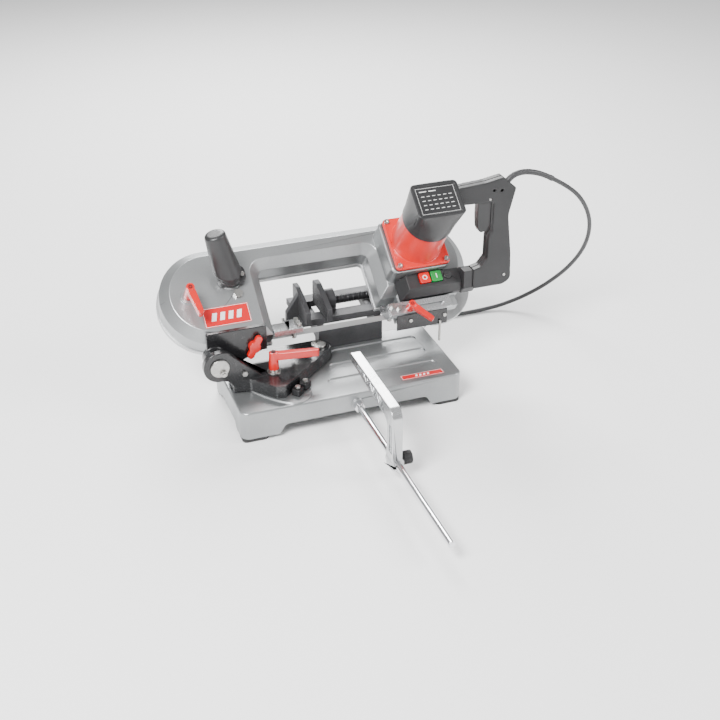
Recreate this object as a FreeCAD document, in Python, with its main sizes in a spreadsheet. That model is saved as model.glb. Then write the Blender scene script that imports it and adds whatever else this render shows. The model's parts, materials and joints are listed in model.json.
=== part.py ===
import FreeCAD, Part
import math
import os

from FreeCAD import Placement, Rotation, Vector

# Driving dimensions in millimetres and degrees. World frame: +X to the motor end, +Y to the back,
# +Z up, origin on the floor under the middle of the base.
DIMENSIONS = {
    "base_length": 468, "base_width": 222, "base_top": 68, "foot_height": 8,
    "base_wall": 6, "base_corner": 18, "groove_width": 20, "groove_depth": 2.5,
    "pad_height": 2.5, "pad_outer": 186, "pad_inner": 116, "lock_radius": 134.4,
    "pivot_x": -24, "pivot_y": 48, "pivot_radius": 8, "arm_top": 97, "arm_tip": 26,
    "hinge_x": -252, "hinge_height": 133, "hinge_lug": 32, "axle_radius": 10, "barrel_radius": 23,
    "running_gap": 0.05, "part_gap": 0.3,
    "bow_x": -232.6, "bow_y": 92.6, "bow_height": 238, "bow_tilt": 38,
    "centre_distance": 450, "lobe_radius": 103, "lobe_drop": 3, "bow_bevel": 19.5,
    "bow_depth": 60, "bow_wall": 5, "window_left": 107, "window_right": 345, "window_top": 38,
    "cover_depth": 13, "cover_lip": 2.5, "step_u": 381, "step_v": -70, "wheel_radius": 86, "wheel_width": 15, "wheel_front": 38,
    "shaft_radius": 8, "bearing_radius": 17.5, "bearing_width": 12,
    "blade_thickness": 0.7, "blade_width": 13, "blade_line": 47, "blade_teeth": 130.5,
    "gear_module": 1.25, "gear_teeth": 31, "pinion_teeth": 10, "gear_width": 14,
    "motor_u": 430.5, "motor_v": 13.6, "boss_side": 118, "boss_height": 49, "flange_side": 118,
    "flange_thickness": 8, "screw_spacing": 102.5, "motor_radius": 50, "motor_length": 91,
    "cap_radius": 53, "cap_long": 99, "cap_short": 76, "cap_height": 79,
    "lever_hub": 9, "rod_radius": 6.5, "rod_x": 5, "rod_height": 42.5, "rod_front": 580,
    "bed_top": 134, "jaw_front": 72, "jaw_length": 100, "jaw_height": 57, "jaw_bevel": 4,
    "screw_radius": 9, "screw_y": 150, "screw_height": 142, "cord_radius": 4.5, "handle_thickness": 26,
}

doc = FreeCAD.newDocument("band_saw")
dims = doc.addObject("Spreadsheet::Sheet", "dims")
for row, (alias, number) in enumerate(DIMENSIONS.items(), start=1):
    dims.set(f"A{row}", alias.replace("_", " "))
    dims.set(f"B{row}", str(number))
    dims.setAlias(f"B{row}", alias)
doc.recompute()

NODES = {}
AXES = {
    "x": Rotation(Vector(0, 1, 0), 90), "-x": Rotation(Vector(0, 1, 0), -90),
    "y": Rotation(Vector(1, 0, 0), -90), "-y": Rotation(Vector(1, 0, 0), 90),
    "z": Rotation(), "-z": Rotation(Vector(1, 0, 0), 180),
}


def size(alias):
    """One driving dimension, read from the sheet."""
    return float(dims.get(alias))


def bind(item, prop, amount):
    """Ties a property to a formula over the sheet, or to a plain number."""
    item.setExpression(prop, str(amount))


def place(item, corner):
    """Ties an item's position to three formulas or numbers."""
    for axis, amount in zip("xyz", corner):
        bind(item, f"Placement.Base.{axis}", amount)
    return item


def block(name, lengths, corner):
    """A box with its lowest corner at corner."""
    item = doc.addObject("Part::Box", name)
    for prop, amount in zip(("Length", "Width", "Height"), lengths):
        bind(item, prop, amount)
    return place(item, corner)


def cylinder(name, radius, length, start, axis="z"):
    """A round bar that runs from start along axis."""
    item = doc.addObject("Part::Cylinder", name)
    bind(item, "Radius", radius)
    bind(item, "Height", length)
    item.Placement = Placement(Vector(), AXES[axis])
    return place(item, start)


def cone(name, first, last, length, start, axis="z"):
    """A tapered round bar that runs from start along axis."""
    item = doc.addObject("Part::Cone", name)
    bind(item, "Radius1", first)
    bind(item, "Radius2", last)
    bind(item, "Height", length)
    item.Placement = Placement(Vector(), AXES[axis])
    return place(item, start)


def hexagon(name, across, height, start, axis="z"):
    """A hexagonal head or nut, given its size across the corners' circle."""
    item = doc.addObject("Part::Prism", name)
    item.Polygon = 6
    bind(item, "Circumradius", across)
    bind(item, "Height", height)
    item.Placement = Placement(Vector(), AXES[axis])
    return place(item, start)


def joined(name, parts):
    """One solid from parts that overlap or touch."""
    item = doc.addObject("Part::MultiFuse", name)
    item.Shapes = parts
    return item


def carved(name, base, tools):
    """The base with every tool cut away."""
    item = doc.addObject("Part::Cut", name)
    item.Base = base
    item.Tool = tools[0] if len(tools) == 1 else joined(name + "_tools", tools)
    return item


def group(name, items):
    """Separate solids kept together, such as a set of screws."""
    item = doc.addObject("Part::Compound", name)
    item.Links = items
    return item


def ring(name, outer, inner, length, start, axis="z"):
    """A round tube."""
    tube = cylinder(name + "_outer", outer, length, start, axis)
    return carved(name, tube, [cylinder(name + "_bore", inner, length, start, axis)])


def rounded(outline):
    """Sketch lines and arcs for corner points (x, y) or (x, y, corner radius)."""
    corners = []
    count = len(outline)
    for index, corner in enumerate(outline):
        here = Vector(corner[0], corner[1], 0)
        radius = corner[2] if len(corner) > 2 else 0
        if not radius:
            corners.append((here, here, None))
            continue
        before = Vector(*outline[index - 1][:2], 0) - here
        after = Vector(*outline[(index + 1) % count][:2], 0) - here
        before.normalize()
        after.normalize()
        half = before.getAngle(after) / 2
        reach = radius / math.tan(half)
        middle = before + after
        middle.normalize()
        centre = here + middle * (radius / math.sin(half))
        corners.append((here + before * reach, here + after * reach, centre - middle * radius))
    pieces = []
    for index, (start, end, top) in enumerate(corners):
        if top is not None:
            pieces.append(Part.Arc(start, top, end))
        following = corners[(index + 1) % count][0]
        if end.distanceToPoint(following) > 1e-4:
            pieces.append(Part.LineSegment(end, following))
    return pieces


def plate(name, outline, thickness, placement=Placement(), holes=()):
    """A padded sketch: a closed outline with round holes (x, y, radius)."""
    body = doc.addObject("PartDesign::Body", name)
    sketch = body.newObject("Sketcher::SketchObject", name + "_outline")
    planes = [plane for plane in body.Origin.OriginFeatures if plane.Role == "XY_Plane"]
    sketch.AttachmentSupport = (planes[0], [""])
    sketch.MapMode = "FlatFace"
    shapes = [] if outline is None else rounded(outline)
    circles = [Part.Circle(Vector(x, y, 0), Vector(0, 0, 1), radius) for x, y, radius in holes]
    sketch.addGeometry(shapes + circles, False)
    pad = body.newObject("PartDesign::Pad", name + "_pad")
    pad.Profile = sketch
    bind(pad, "Length", thickness)
    body.Placement = placement
    return body


def rectangle(low_x, low_y, high_x, high_y, radius=0):
    """Corner points of a rectangle."""
    points = ((low_x, low_y), (high_x, low_y), (high_x, high_y), (low_x, high_y))
    return [point + (radius,) for point in points]


def softened(name, base, radius, chosen, kind="Part::Fillet"):
    """The base with the chosen edges rounded or bevelled."""
    doc.recompute()
    item = doc.addObject(kind, name)
    item.Base = base
    edges = enumerate(base.Shape.Edges, start=1)
    item.Edges = [(index, radius, radius) for index, edge in edges if chosen(edge)]
    return item


def raised(height):
    """Lies flat at a height."""
    return Placement(Vector(0, 0, height), Rotation())


def facing_front(back):
    """Sketch x to world X and y to world Z; the pad grows towards the front from y = back."""
    return Placement(Vector(0, back, 0), Rotation(Vector(1, 0, 0), 90))


def facing_right(left):
    """Sketch x to world Y and y to world Z; the pad grows towards +X from x = left."""
    return Placement(Vector(left, 0, 0), Rotation(Vector(1, 1, 1), 120))


def node(label, item, placement=None):
    """Names a finished piece and puts it in place."""
    item.Label = label
    if placement is not None:
        item.Placement = placement.multiply(item.Placement)
    NODES[label] = item
    return item


def polar(centre_x, centre_y, radius, degrees):
    """A point on a circle."""
    angle = math.radians(degrees)
    return centre_x + radius * math.cos(angle), centre_y + radius * math.sin(angle)


# The bow's own frame: u along +X, v up the leaning face, n out of the face.
BOW = Placement(Vector(size("bow_x"), size("bow_y"), size("bow_height")),
                Rotation(Vector(1, 0, 0), size("bow_tilt")))
BOW_INVERSE = BOW.inverse()
PIVOT = (size("pivot_x"), size("pivot_y"))
BASE_TOP = size("base_top")
PAD_TOP = BASE_TOP + size("pad_height")
GAP = size("part_gap")


def base_casting():
    """Hollow cast base with an arch between the feet, grooves, swivel pad and rod boss."""
    half_x, half_y = size("base_length") / 2, size("base_width") / 2
    foot, wall = size("foot_height"), size("base_wall")
    outline = rectangle(-half_x, -half_y, half_x, half_y, size("base_corner"))
    solid = plate("base_solid", outline, "dims.base_top - dims.foot_height", raised(foot))
    soft = softened("base_soft", solid, 4, lambda edge: edge.BoundBox.ZMin > BASE_TOP - 0.01)
    inner = rectangle(wall - half_x, wall - half_y, half_x - wall, half_y - wall, 12)
    cavity = plate("base_cavity", inner, "dims.base_top - dims.foot_height - 7", raised(foot))
    arch_points = [(-158, foot - 1), (-144, 28, 12), (154, 28, 12), (168, foot - 1)]
    arch = plate("base_arch", arch_points, size("base_width") + 20, facing_front(half_y + 10))
    side_points = [(-64, foot - 1), (-54, 20, 8), (54, 20, 8), (64, foot - 1)]
    side_arch = plate("base_side_arch", side_points, size("base_length") + 20,
                      facing_right(-half_x - 10))
    tools = [cavity, arch, side_arch]
    for index, (left, right, middle) in enumerate(((8, 198, 59), (-14, 198, 5), (-36, 200, -50))):
        half = size("groove_width") / 2
        slot = rectangle(left, middle - half, right, middle + half, half - 0.1)
        tools.append(plate(f"base_groove_{index}", slot, 10,
                           raised(BASE_TOP - size("groove_depth"))))
    carcass = carved("base_carcass", soft, tools)
    pad = carved("base_pad", swivel_sector("pad", size("pad_inner"), size("pad_outer"), 176, 233,
                                           BASE_TOP - 1, size("pad_height") + 1), [
        block("pad_trim", (60, 400, 20), (-half_x - 58, -200, BASE_TOP - 5))])
    boss = cylinder("rod_boss", 13, 24, ("dims.rod_x", "-dims.base_width / 2 - 5",
                                         "dims.rod_height"), "y")
    body = joined("base_body", [carcass, pad, boss])
    radius = size("lock_radius")
    slot = swivel_sector("lock_slot", radius - 6.3, radius + 6.3, 163.5, 212, 40, 60)
    holes = [
        slot,
        cylinder("pivot_hole", "dims.pivot_radius", 60, ("dims.pivot_x", "dims.pivot_y", 40)),
        cylinder("rod_hole", "dims.rod_radius", 60, ("dims.rod_x", -150, "dims.rod_height"), "y"),
    ]
    return carved("base_casting", body, holes)


def swivel_sector(name, inner, outer, first, last, floor, height):
    """A ring sector round the swivel pivot with round ends, between two angles in degrees."""
    middle, half = (inner + outer) / 2, (outer - inner) / 2
    overlap = math.degrees(half / middle)
    begin, end, between = first, last, (first + last) / 2
    edges = []
    for radius in (inner, outer):
        points = [Vector(*polar(*PIVOT, radius, angle), 0) for angle in (begin, between, end)]
        edges.append(Part.Arc(*points))
    for angle, out in ((begin, begin - overlap), (end, end + overlap)):
        points = [polar(*PIVOT, inner, angle), polar(*PIVOT, middle, out),
                  polar(*PIVOT, outer, angle)]
        edges.append(Part.Arc(*[Vector(*point, 0) for point in points]))
    body = doc.addObject("PartDesign::Body", name)
    sketch = body.newObject("Sketcher::SketchObject", name + "_outline")
    planes = [plane for plane in body.Origin.OriginFeatures if plane.Role == "XY_Plane"]
    sketch.AttachmentSupport = (planes[0], [""])
    sketch.MapMode = "FlatFace"
    sketch.addGeometry(edges, False)
    pad = body.newObject("PartDesign::Pad", name + "_pad")
    pad.Profile = sketch
    bind(pad, "Length", height)
    body.Placement = raised(floor)
    return body


def rubber_feet():
    """Four moulded feet under the corners."""
    feet = []
    for index, (side_x, side_y) in enumerate(((-1, -1), (1, -1), (-1, 1), (1, 1))):
        near_x, far_x = sorted((side_x * 178, side_x * 232))
        near_y, far_y = sorted((side_y * 72, side_y * 109))
        outline = rectangle(near_x, near_y, far_x, far_y, 10)
        feet.append(plate(f"foot_{index}", outline, "dims.foot_height"))
    return group("rubber_feet", feet)


def lever(name, hub_radius, hub_height, arm_length, arm_root, arm_tip, drop):
    """A clamping lever: a round hub and a tapering arm along +X that starts at the hub's top."""
    hub = cone(name + "_hub", hub_radius, hub_radius * 0.85, hub_height, (0, 0, 0))
    thick = hub_height * 0.38
    outline = [(0, -arm_root), (arm_length, -arm_tip, arm_tip * 0.95),
               (arm_length, arm_tip, arm_tip * 0.95), (0, arm_root)]
    arm = plate(name + "_arm", outline, thick, raised(hub_height - thick - drop))
    whole = joined(name, [hub, arm])
    return carved(name + "_bored", whole, [cylinder(name + "_bore", 4.05, hub_height - 6, (0, 0, 0))])


def swivel_arm():
    """Cast arm: a wedge plate with a round tip at the pivot and the front hinge lug."""
    tip = size("arm_tip")
    outline = [(45.6, 74, tip), (-135, -83, 5), (-152, -80, 5), (-192, -34, 10), (-226, -29),
               (-226, 20, 8), (-190, 74, 30)]
    wedge = plate("arm_wedge", outline, size("arm_top") - PAD_TOP - GAP, raised(PAD_TOP + GAP))
    hollow_outline = [(-20, 60), (-60, 18, 6), (-126, -42, 6), (-182, -24, 8), (-216, -16, 4),
                      (-216, 12, 4), (-186, 62, 20)]
    hollow = plate("arm_hollow", hollow_outline, 20, raised(PAD_TOP + GAP))
    stud_boss = cylinder("arm_stud_boss", 14, 20, (-140, -20, PAD_TOP + GAP))
    pivot_boss = cylinder("arm_pivot_boss", 20, 20, (*PIVOT, PAD_TOP + GAP))
    lug = size("hinge_lug")
    left, centre = size("hinge_x") - lug, size("hinge_height")
    lug_outline = [(left, centre + lug, lug - 0.1), (-238, centre + lug, 25), (-166, 97.2, 5),
                   (-152, 97.2), (-152, PAD_TOP + GAP), (-214, PAD_TOP + GAP, 10),
                   (-238, centre - lug, 18), (left, centre - lug, lug - 0.1)]
    cheek = plate("arm_lug", lug_outline, 15, facing_front(-15))
    gusset_outline = [(-226, 97), (-200, 97), (-222, 128)]
    gusset = plate("arm_gusset", gusset_outline, 27.5, facing_front(11.5))
    shell = carved("arm_shell", wedge, [hollow])
    body = joined("arm_body", [shell, stud_boss, pivot_boss, cheek, gusset])
    return carved("swivel_arm", body, [
        cylinder("arm_axle_hole", "dims.axle_radius", 60, ("dims.hinge_x", -40, "dims.hinge_height"), "y"),
        cylinder("arm_pivot_hole", "dims.pivot_radius + dims.running_gap", 60,
                 ("dims.pivot_x", "dims.pivot_y", 60)),
        cylinder("arm_stud_hole", 6, 60, (-140, -20, 60)),
    ])


def build_base():
    """Everything that stands still."""
    node("base_casting", base_casting())
    node("rubber_feet", rubber_feet())
    node("base_label", plate("base_label_sheet", rectangle(108, -97, 199, -80, 2), 0.6,
                             raised(BASE_TOP)))
    head = joined("pivot_bolt", [
        cylinder("pivot_shank", "dims.pivot_radius", 46, ("dims.pivot_x", "dims.pivot_y", 55)),
        cylinder("pivot_head", 15, 5, ("dims.pivot_x", "dims.pivot_y", "dims.arm_top + dims.part_gap")),
        hexagon("pivot_nut", 13, 8, ("dims.pivot_x", "dims.pivot_y", 52.9)),
    ])
    node("swivel_pivot_bolt", head)
    edge_angle = 41
    stops = []
    screws = []
    for index, along in enumerate((24, 52)):
        x = -135 + along * math.cos(math.radians(edge_angle)) + 13 * math.sin(math.radians(edge_angle))
        y = -83 + along * math.sin(math.radians(edge_angle)) - 13 * math.cos(math.radians(edge_angle))
        turn = Placement(Vector(x, y, PAD_TOP), Rotation(Vector(0, 0, 1), edge_angle))
        stop = plate(f"stop_block_{index}", rectangle(-10, -9, 10, 9, 3), 14, turn)
        stops.append(stop)
        screws.append(hexagon(f"stop_bolt_{index}", 6, 5, (x, y, PAD_TOP + 14)))
    node("angle_stop_blocks", group("angle_stops", stops))
    for index, z in enumerate((110, 124)):
        screws.append(hexagon(f"jaw_bolt_{index}", 5.5, 5, (-72, 131.5, z), "-x"))
    node("base_bolts", group("base_bolt_set", screws))
    start = ("dims.rod_x", "-dims.base_width / 2 - 15.2", "dims.rod_height")
    rod = cylinder("stop_rod_bar", "dims.rod_radius", "dims.rod_front - 70",
                   ("dims.rod_x", "-dims.rod_front", "dims.rod_height"), "y")
    node("stop_rod", joined("stop_rod_body", [rod, hexagon("rod_nut", 11.5, 10, start, "y")]))


def build_vise():
    """Bed with two rails, fixed and moving jaws, screw and handwheel."""
    top = size("bed_top")
    screw_y, screw_z = size("screw_y"), size("screw_height")
    under = top - 14
    parts = [block(f"rail_{index}", (195, back - front, 14), (-45, front, under))
             for index, (front, back) in enumerate(((93, 125), (175, 207)))]
    parts.append(block("bed_left", (21, 114, 14), (-45, 93, under)))
    yoke = [(93, under), (207, under), (207, top - 2), (172, top - 2, 6), (168, 164, 16),
            (132, 164, 16), (128, top - 2, 6), (93, top - 2)]
    parts.append(plate("bed_yoke", yoke, 22, facing_right(128)))
    stem = [(80, BASE_TOP), (109, BASE_TOP), (109, 84), (207, 110), (207, under + 0.5),
            (80, under + 0.5, 6)]
    parts.append(plate("bed_stem_left", stem, 14, facing_right(-12)))
    parts.append(plate("bed_stem_right", stem, 14, facing_right(116)))
    parts.append(block("bed_apron", (120, 9, 50), (0, 80, BASE_TOP)))
    bed = carved("vise_bed_body", joined("vise_bed_raw", parts), [
        cylinder("vise_nut_bore", "dims.screw_radius + dims.running_gap", 40,
                 (120, "dims.screw_y", "dims.screw_height"), "x")])
    node("vise_bed", bed)
    front, length = size("jaw_front"), size("jaw_length")
    back = front + length
    jaw_top = top + GAP + size("jaw_height") - 2
    side = [(front, top + GAP), (back, top + GAP), (back, jaw_top, 9), (back - 28, jaw_top, 10),
            (front, top + 30, 3)]
    # The bow's end wall passes this corner at 45 degrees, so the casting is bevelled there.
    bevel = size("jaw_bevel")
    corner = [(-42, back - bevel - 1), (-42, back + 1), (bevel - 40, back + 1)]
    face = carved("fixed_jaw_face", plate("fixed_jaw_plate", side, 10, facing_right(-41)),
                  [plate("fixed_jaw_corner", corner, 70, raised(top))])
    rib_points = [(-31.5, top + GAP), (-31.5, jaw_top - 6), (-40, jaw_top - 6), (-68, top + 8),
                  (-68, 100, 3), (-45.3, 100), (-45.3, top + GAP)]
    rib = plate("fixed_jaw_rib", rib_points, 13, facing_front(138))
    node("fixed_jaw", joined("fixed_jaw_body", [face, rib]))
    moving = plate("moving_jaw_face", side, 12, facing_right(4))
    teeth = []
    for index in range(7):
        height = top + 7 + index * 7
        teeth.append(block(f"jaw_groove_{index}", (1.2, length + 2, 1.6), (3.5, front - 1, height)))
    hub_points = [(128, top + GAP), (172, top + GAP), (172, 158, 12), (150, 172, 12),
                  (128, 158, 12)]
    hub = plate("moving_jaw_hub", hub_points, 28, facing_right(15))
    tongue = block("moving_jaw_tongue", (30, 48.4, 13.5), (12, 125.8, top - 13))
    jaw = joined("moving_jaw_raw", [carved("moving_jaw_cut", moving, teeth), hub, tongue])
    pocket = cylinder("jaw_screw_seat", "dims.screw_radius - 3 + dims.running_gap", 20,
                      (24, "dims.screw_y", "dims.screw_height"), "x")
    node("moving_jaw", carved("moving_jaw_body", jaw, [pocket]))
    spindle = joined("vise_screw_body", [
        cylinder("vise_screw_nose", "dims.screw_radius - 3", 19.5, (24.3, screw_y, screw_z), "x"),
        cylinder("vise_screw_thread", "dims.screw_radius", 203, (43.6, screw_y, screw_z), "x"),
        cylinder("vise_screw_end", "dims.screw_radius - 3", 18, (246, screw_y, screw_z), "x")])
    rim = softened("wheel_soft", cylinder("wheel_rim", 30, 15, (246, screw_y, screw_z), "x"), 3,
                   lambda edge: edge.Length > 150)
    scallops = []
    for index in range(6):
        y, z = polar(screw_y, screw_z, 32.5, index * 60)
        scallops.append(cylinder(f"wheel_scallop_{index}", 6, 30, (240, y, z), "x"))
    node("vise_screw", joined("vise_screw_whole", [spindle, carved("wheel_body", rim, scallops)]))


def build_swivel():
    """The arm that carries the bow, its hinge and its clamp."""
    node("swivel_arm_casting", swivel_arm())
    x, z = size("hinge_x"), size("hinge_height")
    node("hinge_axle", joined("hinge_axle_body", [
        cylinder("hinge_axle_bar", "dims.axle_radius", 59, (x, -30, z), "y"),
        hexagon("hinge_nut", 14, 6.2, (x, 22.8, z), "y")]))
    cap = softened("hinge_cap_soft", cylinder("hinge_cap_disc", 19, 5, (x, -35, z), "y"), 1.5,
                   lambda edge: edge.BoundBox.YMax < -34.9)
    node("hinge_cap", cap)
    node("arm_screws", group("arm_screw_set", [
        joined("cap_bolt", [cylinder("cap_bolt_head", 6.5, 6, (x + 6, -41, z - 10), "y"),
                            hexagon("cap_bolt_hex", 4, 3, (x + 6, -44, z - 10), "y")]),
        hexagon("adjust_head", 6, 6, (-203, -30, 112), "-y")]))
    stud_x, stud_y = -140, -20
    node("lock_stud", joined("lock_stud_body", [
        cylinder("lock_washer", 14, 2.5, (stud_x, stud_y, "dims.arm_top")),
        cylinder("lock_shank", 6, 48, (stud_x, stud_y, 52)),
        cylinder("lock_collar", 7.5, 4.2, (stud_x, stud_y, "dims.arm_top + 2.5")),
        cylinder("lock_top", 4, 34, (stud_x, stud_y, 100)),
        hexagon("lock_nut", 10, 6, (stud_x, stud_y, 54.2))]))
    node("swivel_lock_lever", lever("swivel_lever", 10.5, 38, 92, 8.5, 6.5, 2),
         Placement(Vector(stud_x, stud_y, 104.2), Rotation(Vector(0, 0, 1), -9)))


def bow_outline(inset=0):
    """Corners of the bow plate, moved inwards by inset: two round lobes and a beam over the window,
    with a step at the lower left of the drive lobe that leaves room for the sliding guide."""
    radius, drop = size("lobe_radius"), size("lobe_drop")
    low, high = -drop - radius, radius - drop
    far = size("centre_distance")
    left, right, top = size("window_left"), size("window_right"), size("window_top")
    step_u, step_v = size("step_u"), size("step_v")
    lobe, hollow, small = radius - 0.1, 12, 0
    corners = ((-radius, low, 1, 1, lobe, -1), (left, low, -1, 1, small, 0),
               (left, top, -1, 1, hollow, 1), (right, top, 1, 1, hollow, 1),
               (right, step_v, 1, 1, small, 0), (step_u, step_v, 1, 1, small, 0),
               (step_u, low, 1, 1, small, 0), (far + radius, low, -1, 1, lobe, -1),
               (far + radius, high, -1, -1, lobe, -1), (-radius, high, 1, -1, lobe, -1))
    return [(u + side_u * inset, v + side_v * inset, bend + grows * inset)
            for u, v, side_u, side_v, bend, grows in corners]


def bow_frame():
    """Bevelled casting, hollow from the back, with the motor boss and hub bosses."""
    depth, wall, bevel = size("bow_depth"), size("bow_wall"), size("bow_bevel")
    solid = plate("bow_solid", bow_outline(), "dims.bow_depth", raised(-depth))
    face = softened("bow_bevelled", solid, bevel, lambda edge: edge.BoundBox.ZMin > -0.01,
                    "Part::Chamfer")
    pocket = plate("bow_pocket", bow_outline(wall), depth - bevel - 1, raised(-depth))
    upper = plate("bow_pocket_front", bow_outline(bevel + 2), bevel - 3, raised(-bevel - 2))
    far, drop = size("centre_distance"), size("lobe_drop")
    motor_u, motor_v = size("motor_u"), size("motor_v")
    half, height = size("boss_side") / 2, size("boss_height")
    foot = rectangle(motor_u - half - 8, motor_v - half - 1, motor_u + half + 3, motor_v + half + 2, 14)
    boss = plate("motor_boss", foot, height, raised(0))
    boss_soft = softened("motor_boss_soft", boss, 3, lambda edge: edge.BoundBox.ZMin > height - 0.01,
                         "Part::Chamfer")
    room = plate("motor_boss_room", rectangle(motor_u - half + 6, motor_v - half + 6,
                                              motor_u + half - 6, motor_v + half - 6, 10),
                 height + 2, raised(0))
    hollow_boss = carved("motor_boss_shell", boss_soft, [room])
    seat = cylinder("bearing_seat", 23, "dims.bearing_width + 6", (far, -drop, -13))
    grip_boss = cylinder("grip_boss", 24, 4, (44, 22, -1))
    tension_boss = cylinder("tension_boss", 16, 5, (-47, -4, -1))
    pad = block("guide_pad", (116, 24, 22), (384, -118, -22))
    shell = carved("bow_shell", face, [pocket, upper])
    pads = [cylinder(f"bow_pad_{index}", 4.5, 41, (u, v, -depth))
            for index, (u, v) in enumerate(COVER_SCREWS)]
    whole = joined("bow_whole", [shell, hollow_boss, seat, grip_boss, tension_boss, pad] + pads)
    return carved("bow_casting", whole, [
        cylinder("bearing_hole", "dims.bearing_radius", 60, (far, -drop, -7.1)),
        cylinder("shaft_hole", 12, 60, (far, -drop, -20)),
        block("left_blade_slot", (70, 21, 26), (58, -104.6, -62)),
        block("right_blade_slot", (46, 21, 26), (371, -104.6, -62)),
        cylinder("tension_hole", 4.05, 30, (-47, -4, -20)),
        cylinder("guide_stud_hole", 4, 30, (393, -110, -20)),
    ])


COVER_SCREWS = ((-94.5, -3), (-47.3, 78.8), (-47.3, -84.8), (98, -60), (225, 94), (225, 45.5),
                (352, -50), (497.3, 78.8), (544.5, -3), (497.3, -84.8))


def back_cover():
    """Shallow tray over the back of the bow with a wider lobe at the drive end."""
    depth, lip, thick = size("bow_depth"), size("cover_lip"), size("cover_depth")
    tray = plate("cover_tray", bow_outline(-lip), "dims.cover_depth", raised(-depth - thick))
    bulge = cylinder("cover_bulge", 90, "dims.cover_depth", (476, -38, -depth - thick))
    both = joined("cover_both", [tray, bulge])
    soft = softened("cover_soft", both, 3, lambda edge: edge.BoundBox.ZMax < 0.01 - depth - thick)
    pocket = plate("cover_pocket", bow_outline(size("bow_wall")), thick - 4, raised(4 - depth - thick))
    return carved("back_cover", soft, [pocket])


def spur_gear(name, teeth, width, level, centre, bore):
    """A spur gear with straight-sided teeth; a tooth points along +u."""
    module = size("gear_module")
    pitch = module * teeth / 2
    root, tip = pitch - 1.25 * module, pitch + 0.9 * module
    half_root, half_tip = 0.88 * module, 0.34 * module
    points = []
    for index in range(teeth):
        turn = 2 * math.pi * index / teeth
        for radius, side in ((root, -half_root), (tip, -half_tip), (tip, half_tip),
                             (root, half_root)):
            angle = turn + side / radius
            points.append((radius * math.cos(angle), radius * math.sin(angle)))
    holes = [(0, 0, bore)] if bore else []
    spot = Placement(Vector(centre[0], centre[1], level), Rotation())
    return plate(name, points, width, spot, holes)


def wheel(name, centre):
    """A band wheel: rim, web with lightening holes and hub."""
    u, v = centre
    front, width = size("wheel_front"), size("wheel_width")
    rim = ring(name + "_rim", "dims.wheel_radius", "dims.wheel_radius - 10", "dims.wheel_width",
               (u, v, -front - width))
    web = cylinder(name + "_web", "dims.wheel_radius - 9", 5, (u, v, -front - 9))
    hub = cylinder(name + "_hub", 19, "dims.wheel_width + 4", (u, v, -front - width))
    holes = []
    for index in range(5):
        x, y = polar(u, v, 48, index * 72 + 18)
        holes.append(cylinder(f"{name}_window_{index}", 15, 30, (x, y, -front - 20)))
    return carved(name, joined(name + "_raw", [carved(name + "_disc", web, holes), rim, hub]), [
        cylinder(name + "_bore", "dims.shaft_radius + dims.running_gap", 60, (u, v, -front - 30))])


def build_wheels():
    """Drive and idler wheels, shaft, bearings, gears and the tension slide."""
    far, drop = size("centre_distance"), size("lobe_drop")
    drive, idle = (far, -drop), (0, -drop)
    node("drive_wheel", wheel("drive_wheel_body", drive), BOW)
    node("idler_wheel", wheel("idler_wheel_body", idle), BOW)
    gap = "dims.running_gap"
    shaft = cylinder("drive_shaft_bar", "dims.shaft_radius", 83, (*drive, -54))
    node("drive_shaft", group("drive_shaft_set", [shaft]), BOW)
    node("shaft_bearing", ring("shaft_bearing_ring", "dims.bearing_radius",
                               f"dims.shaft_radius + {gap}", "dims.bearing_width",
                               (*drive, -7.1)), BOW)
    motor = (size("motor_u"), size("motor_v"))
    gear = spur_gear("drive_gear_body", int(size("gear_teeth")), "dims.gear_width", 12, drive,
                     size("shaft_radius"))
    aim = math.degrees(math.atan2(motor[1] - drive[1], motor[0] - drive[0]))
    gear.Placement = Placement(Vector(*drive, 12), Rotation(Vector(0, 0, 1), aim))
    node("drive_gear", gear, BOW)
    pinion = spur_gear("pinion_body", int(size("pinion_teeth")), "dims.gear_width", 12, motor, 0)
    turn = Rotation(Vector(0, 0, 1), aim + 180 + 180 / size("pinion_teeth"))
    pinion.Placement = Placement(Vector(*motor, 12), turn)
    node("motor_rotor", joined("rotor_body", [
        pinion,
        cylinder("rotor_shaft", 4.6, 108, (*motor, 25)),
        cylinder("rotor_core", 24, 52, (*motor, 74))]), BOW)
    bracket = plate("tension_block", rectangle(-78, -28, 30, 22, 8), 9, raised(-27))
    pin = cylinder("tension_pin", "dims.shaft_radius", 40, (*idle, -58))
    tension = joined("tension_slide", [bracket, pin])
    node("tension_carriage", tension, BOW)
    hub = lever("tension_lever_arm", 10, 44, 60, 8, 5.5, 2)
    hub.Placement = Placement(Vector(-47, -4, 4.5), Rotation(Vector(0, 0, 1), -80))
    node("tension_lever", joined("tension_lever_body", [
        hub,
        cylinder("tension_stud", 4, 60, (-47, -4, -17)),
        cylinder("tension_cam", 11, 5.6, (-47, -4, -17.6))]), BOW)


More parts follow.
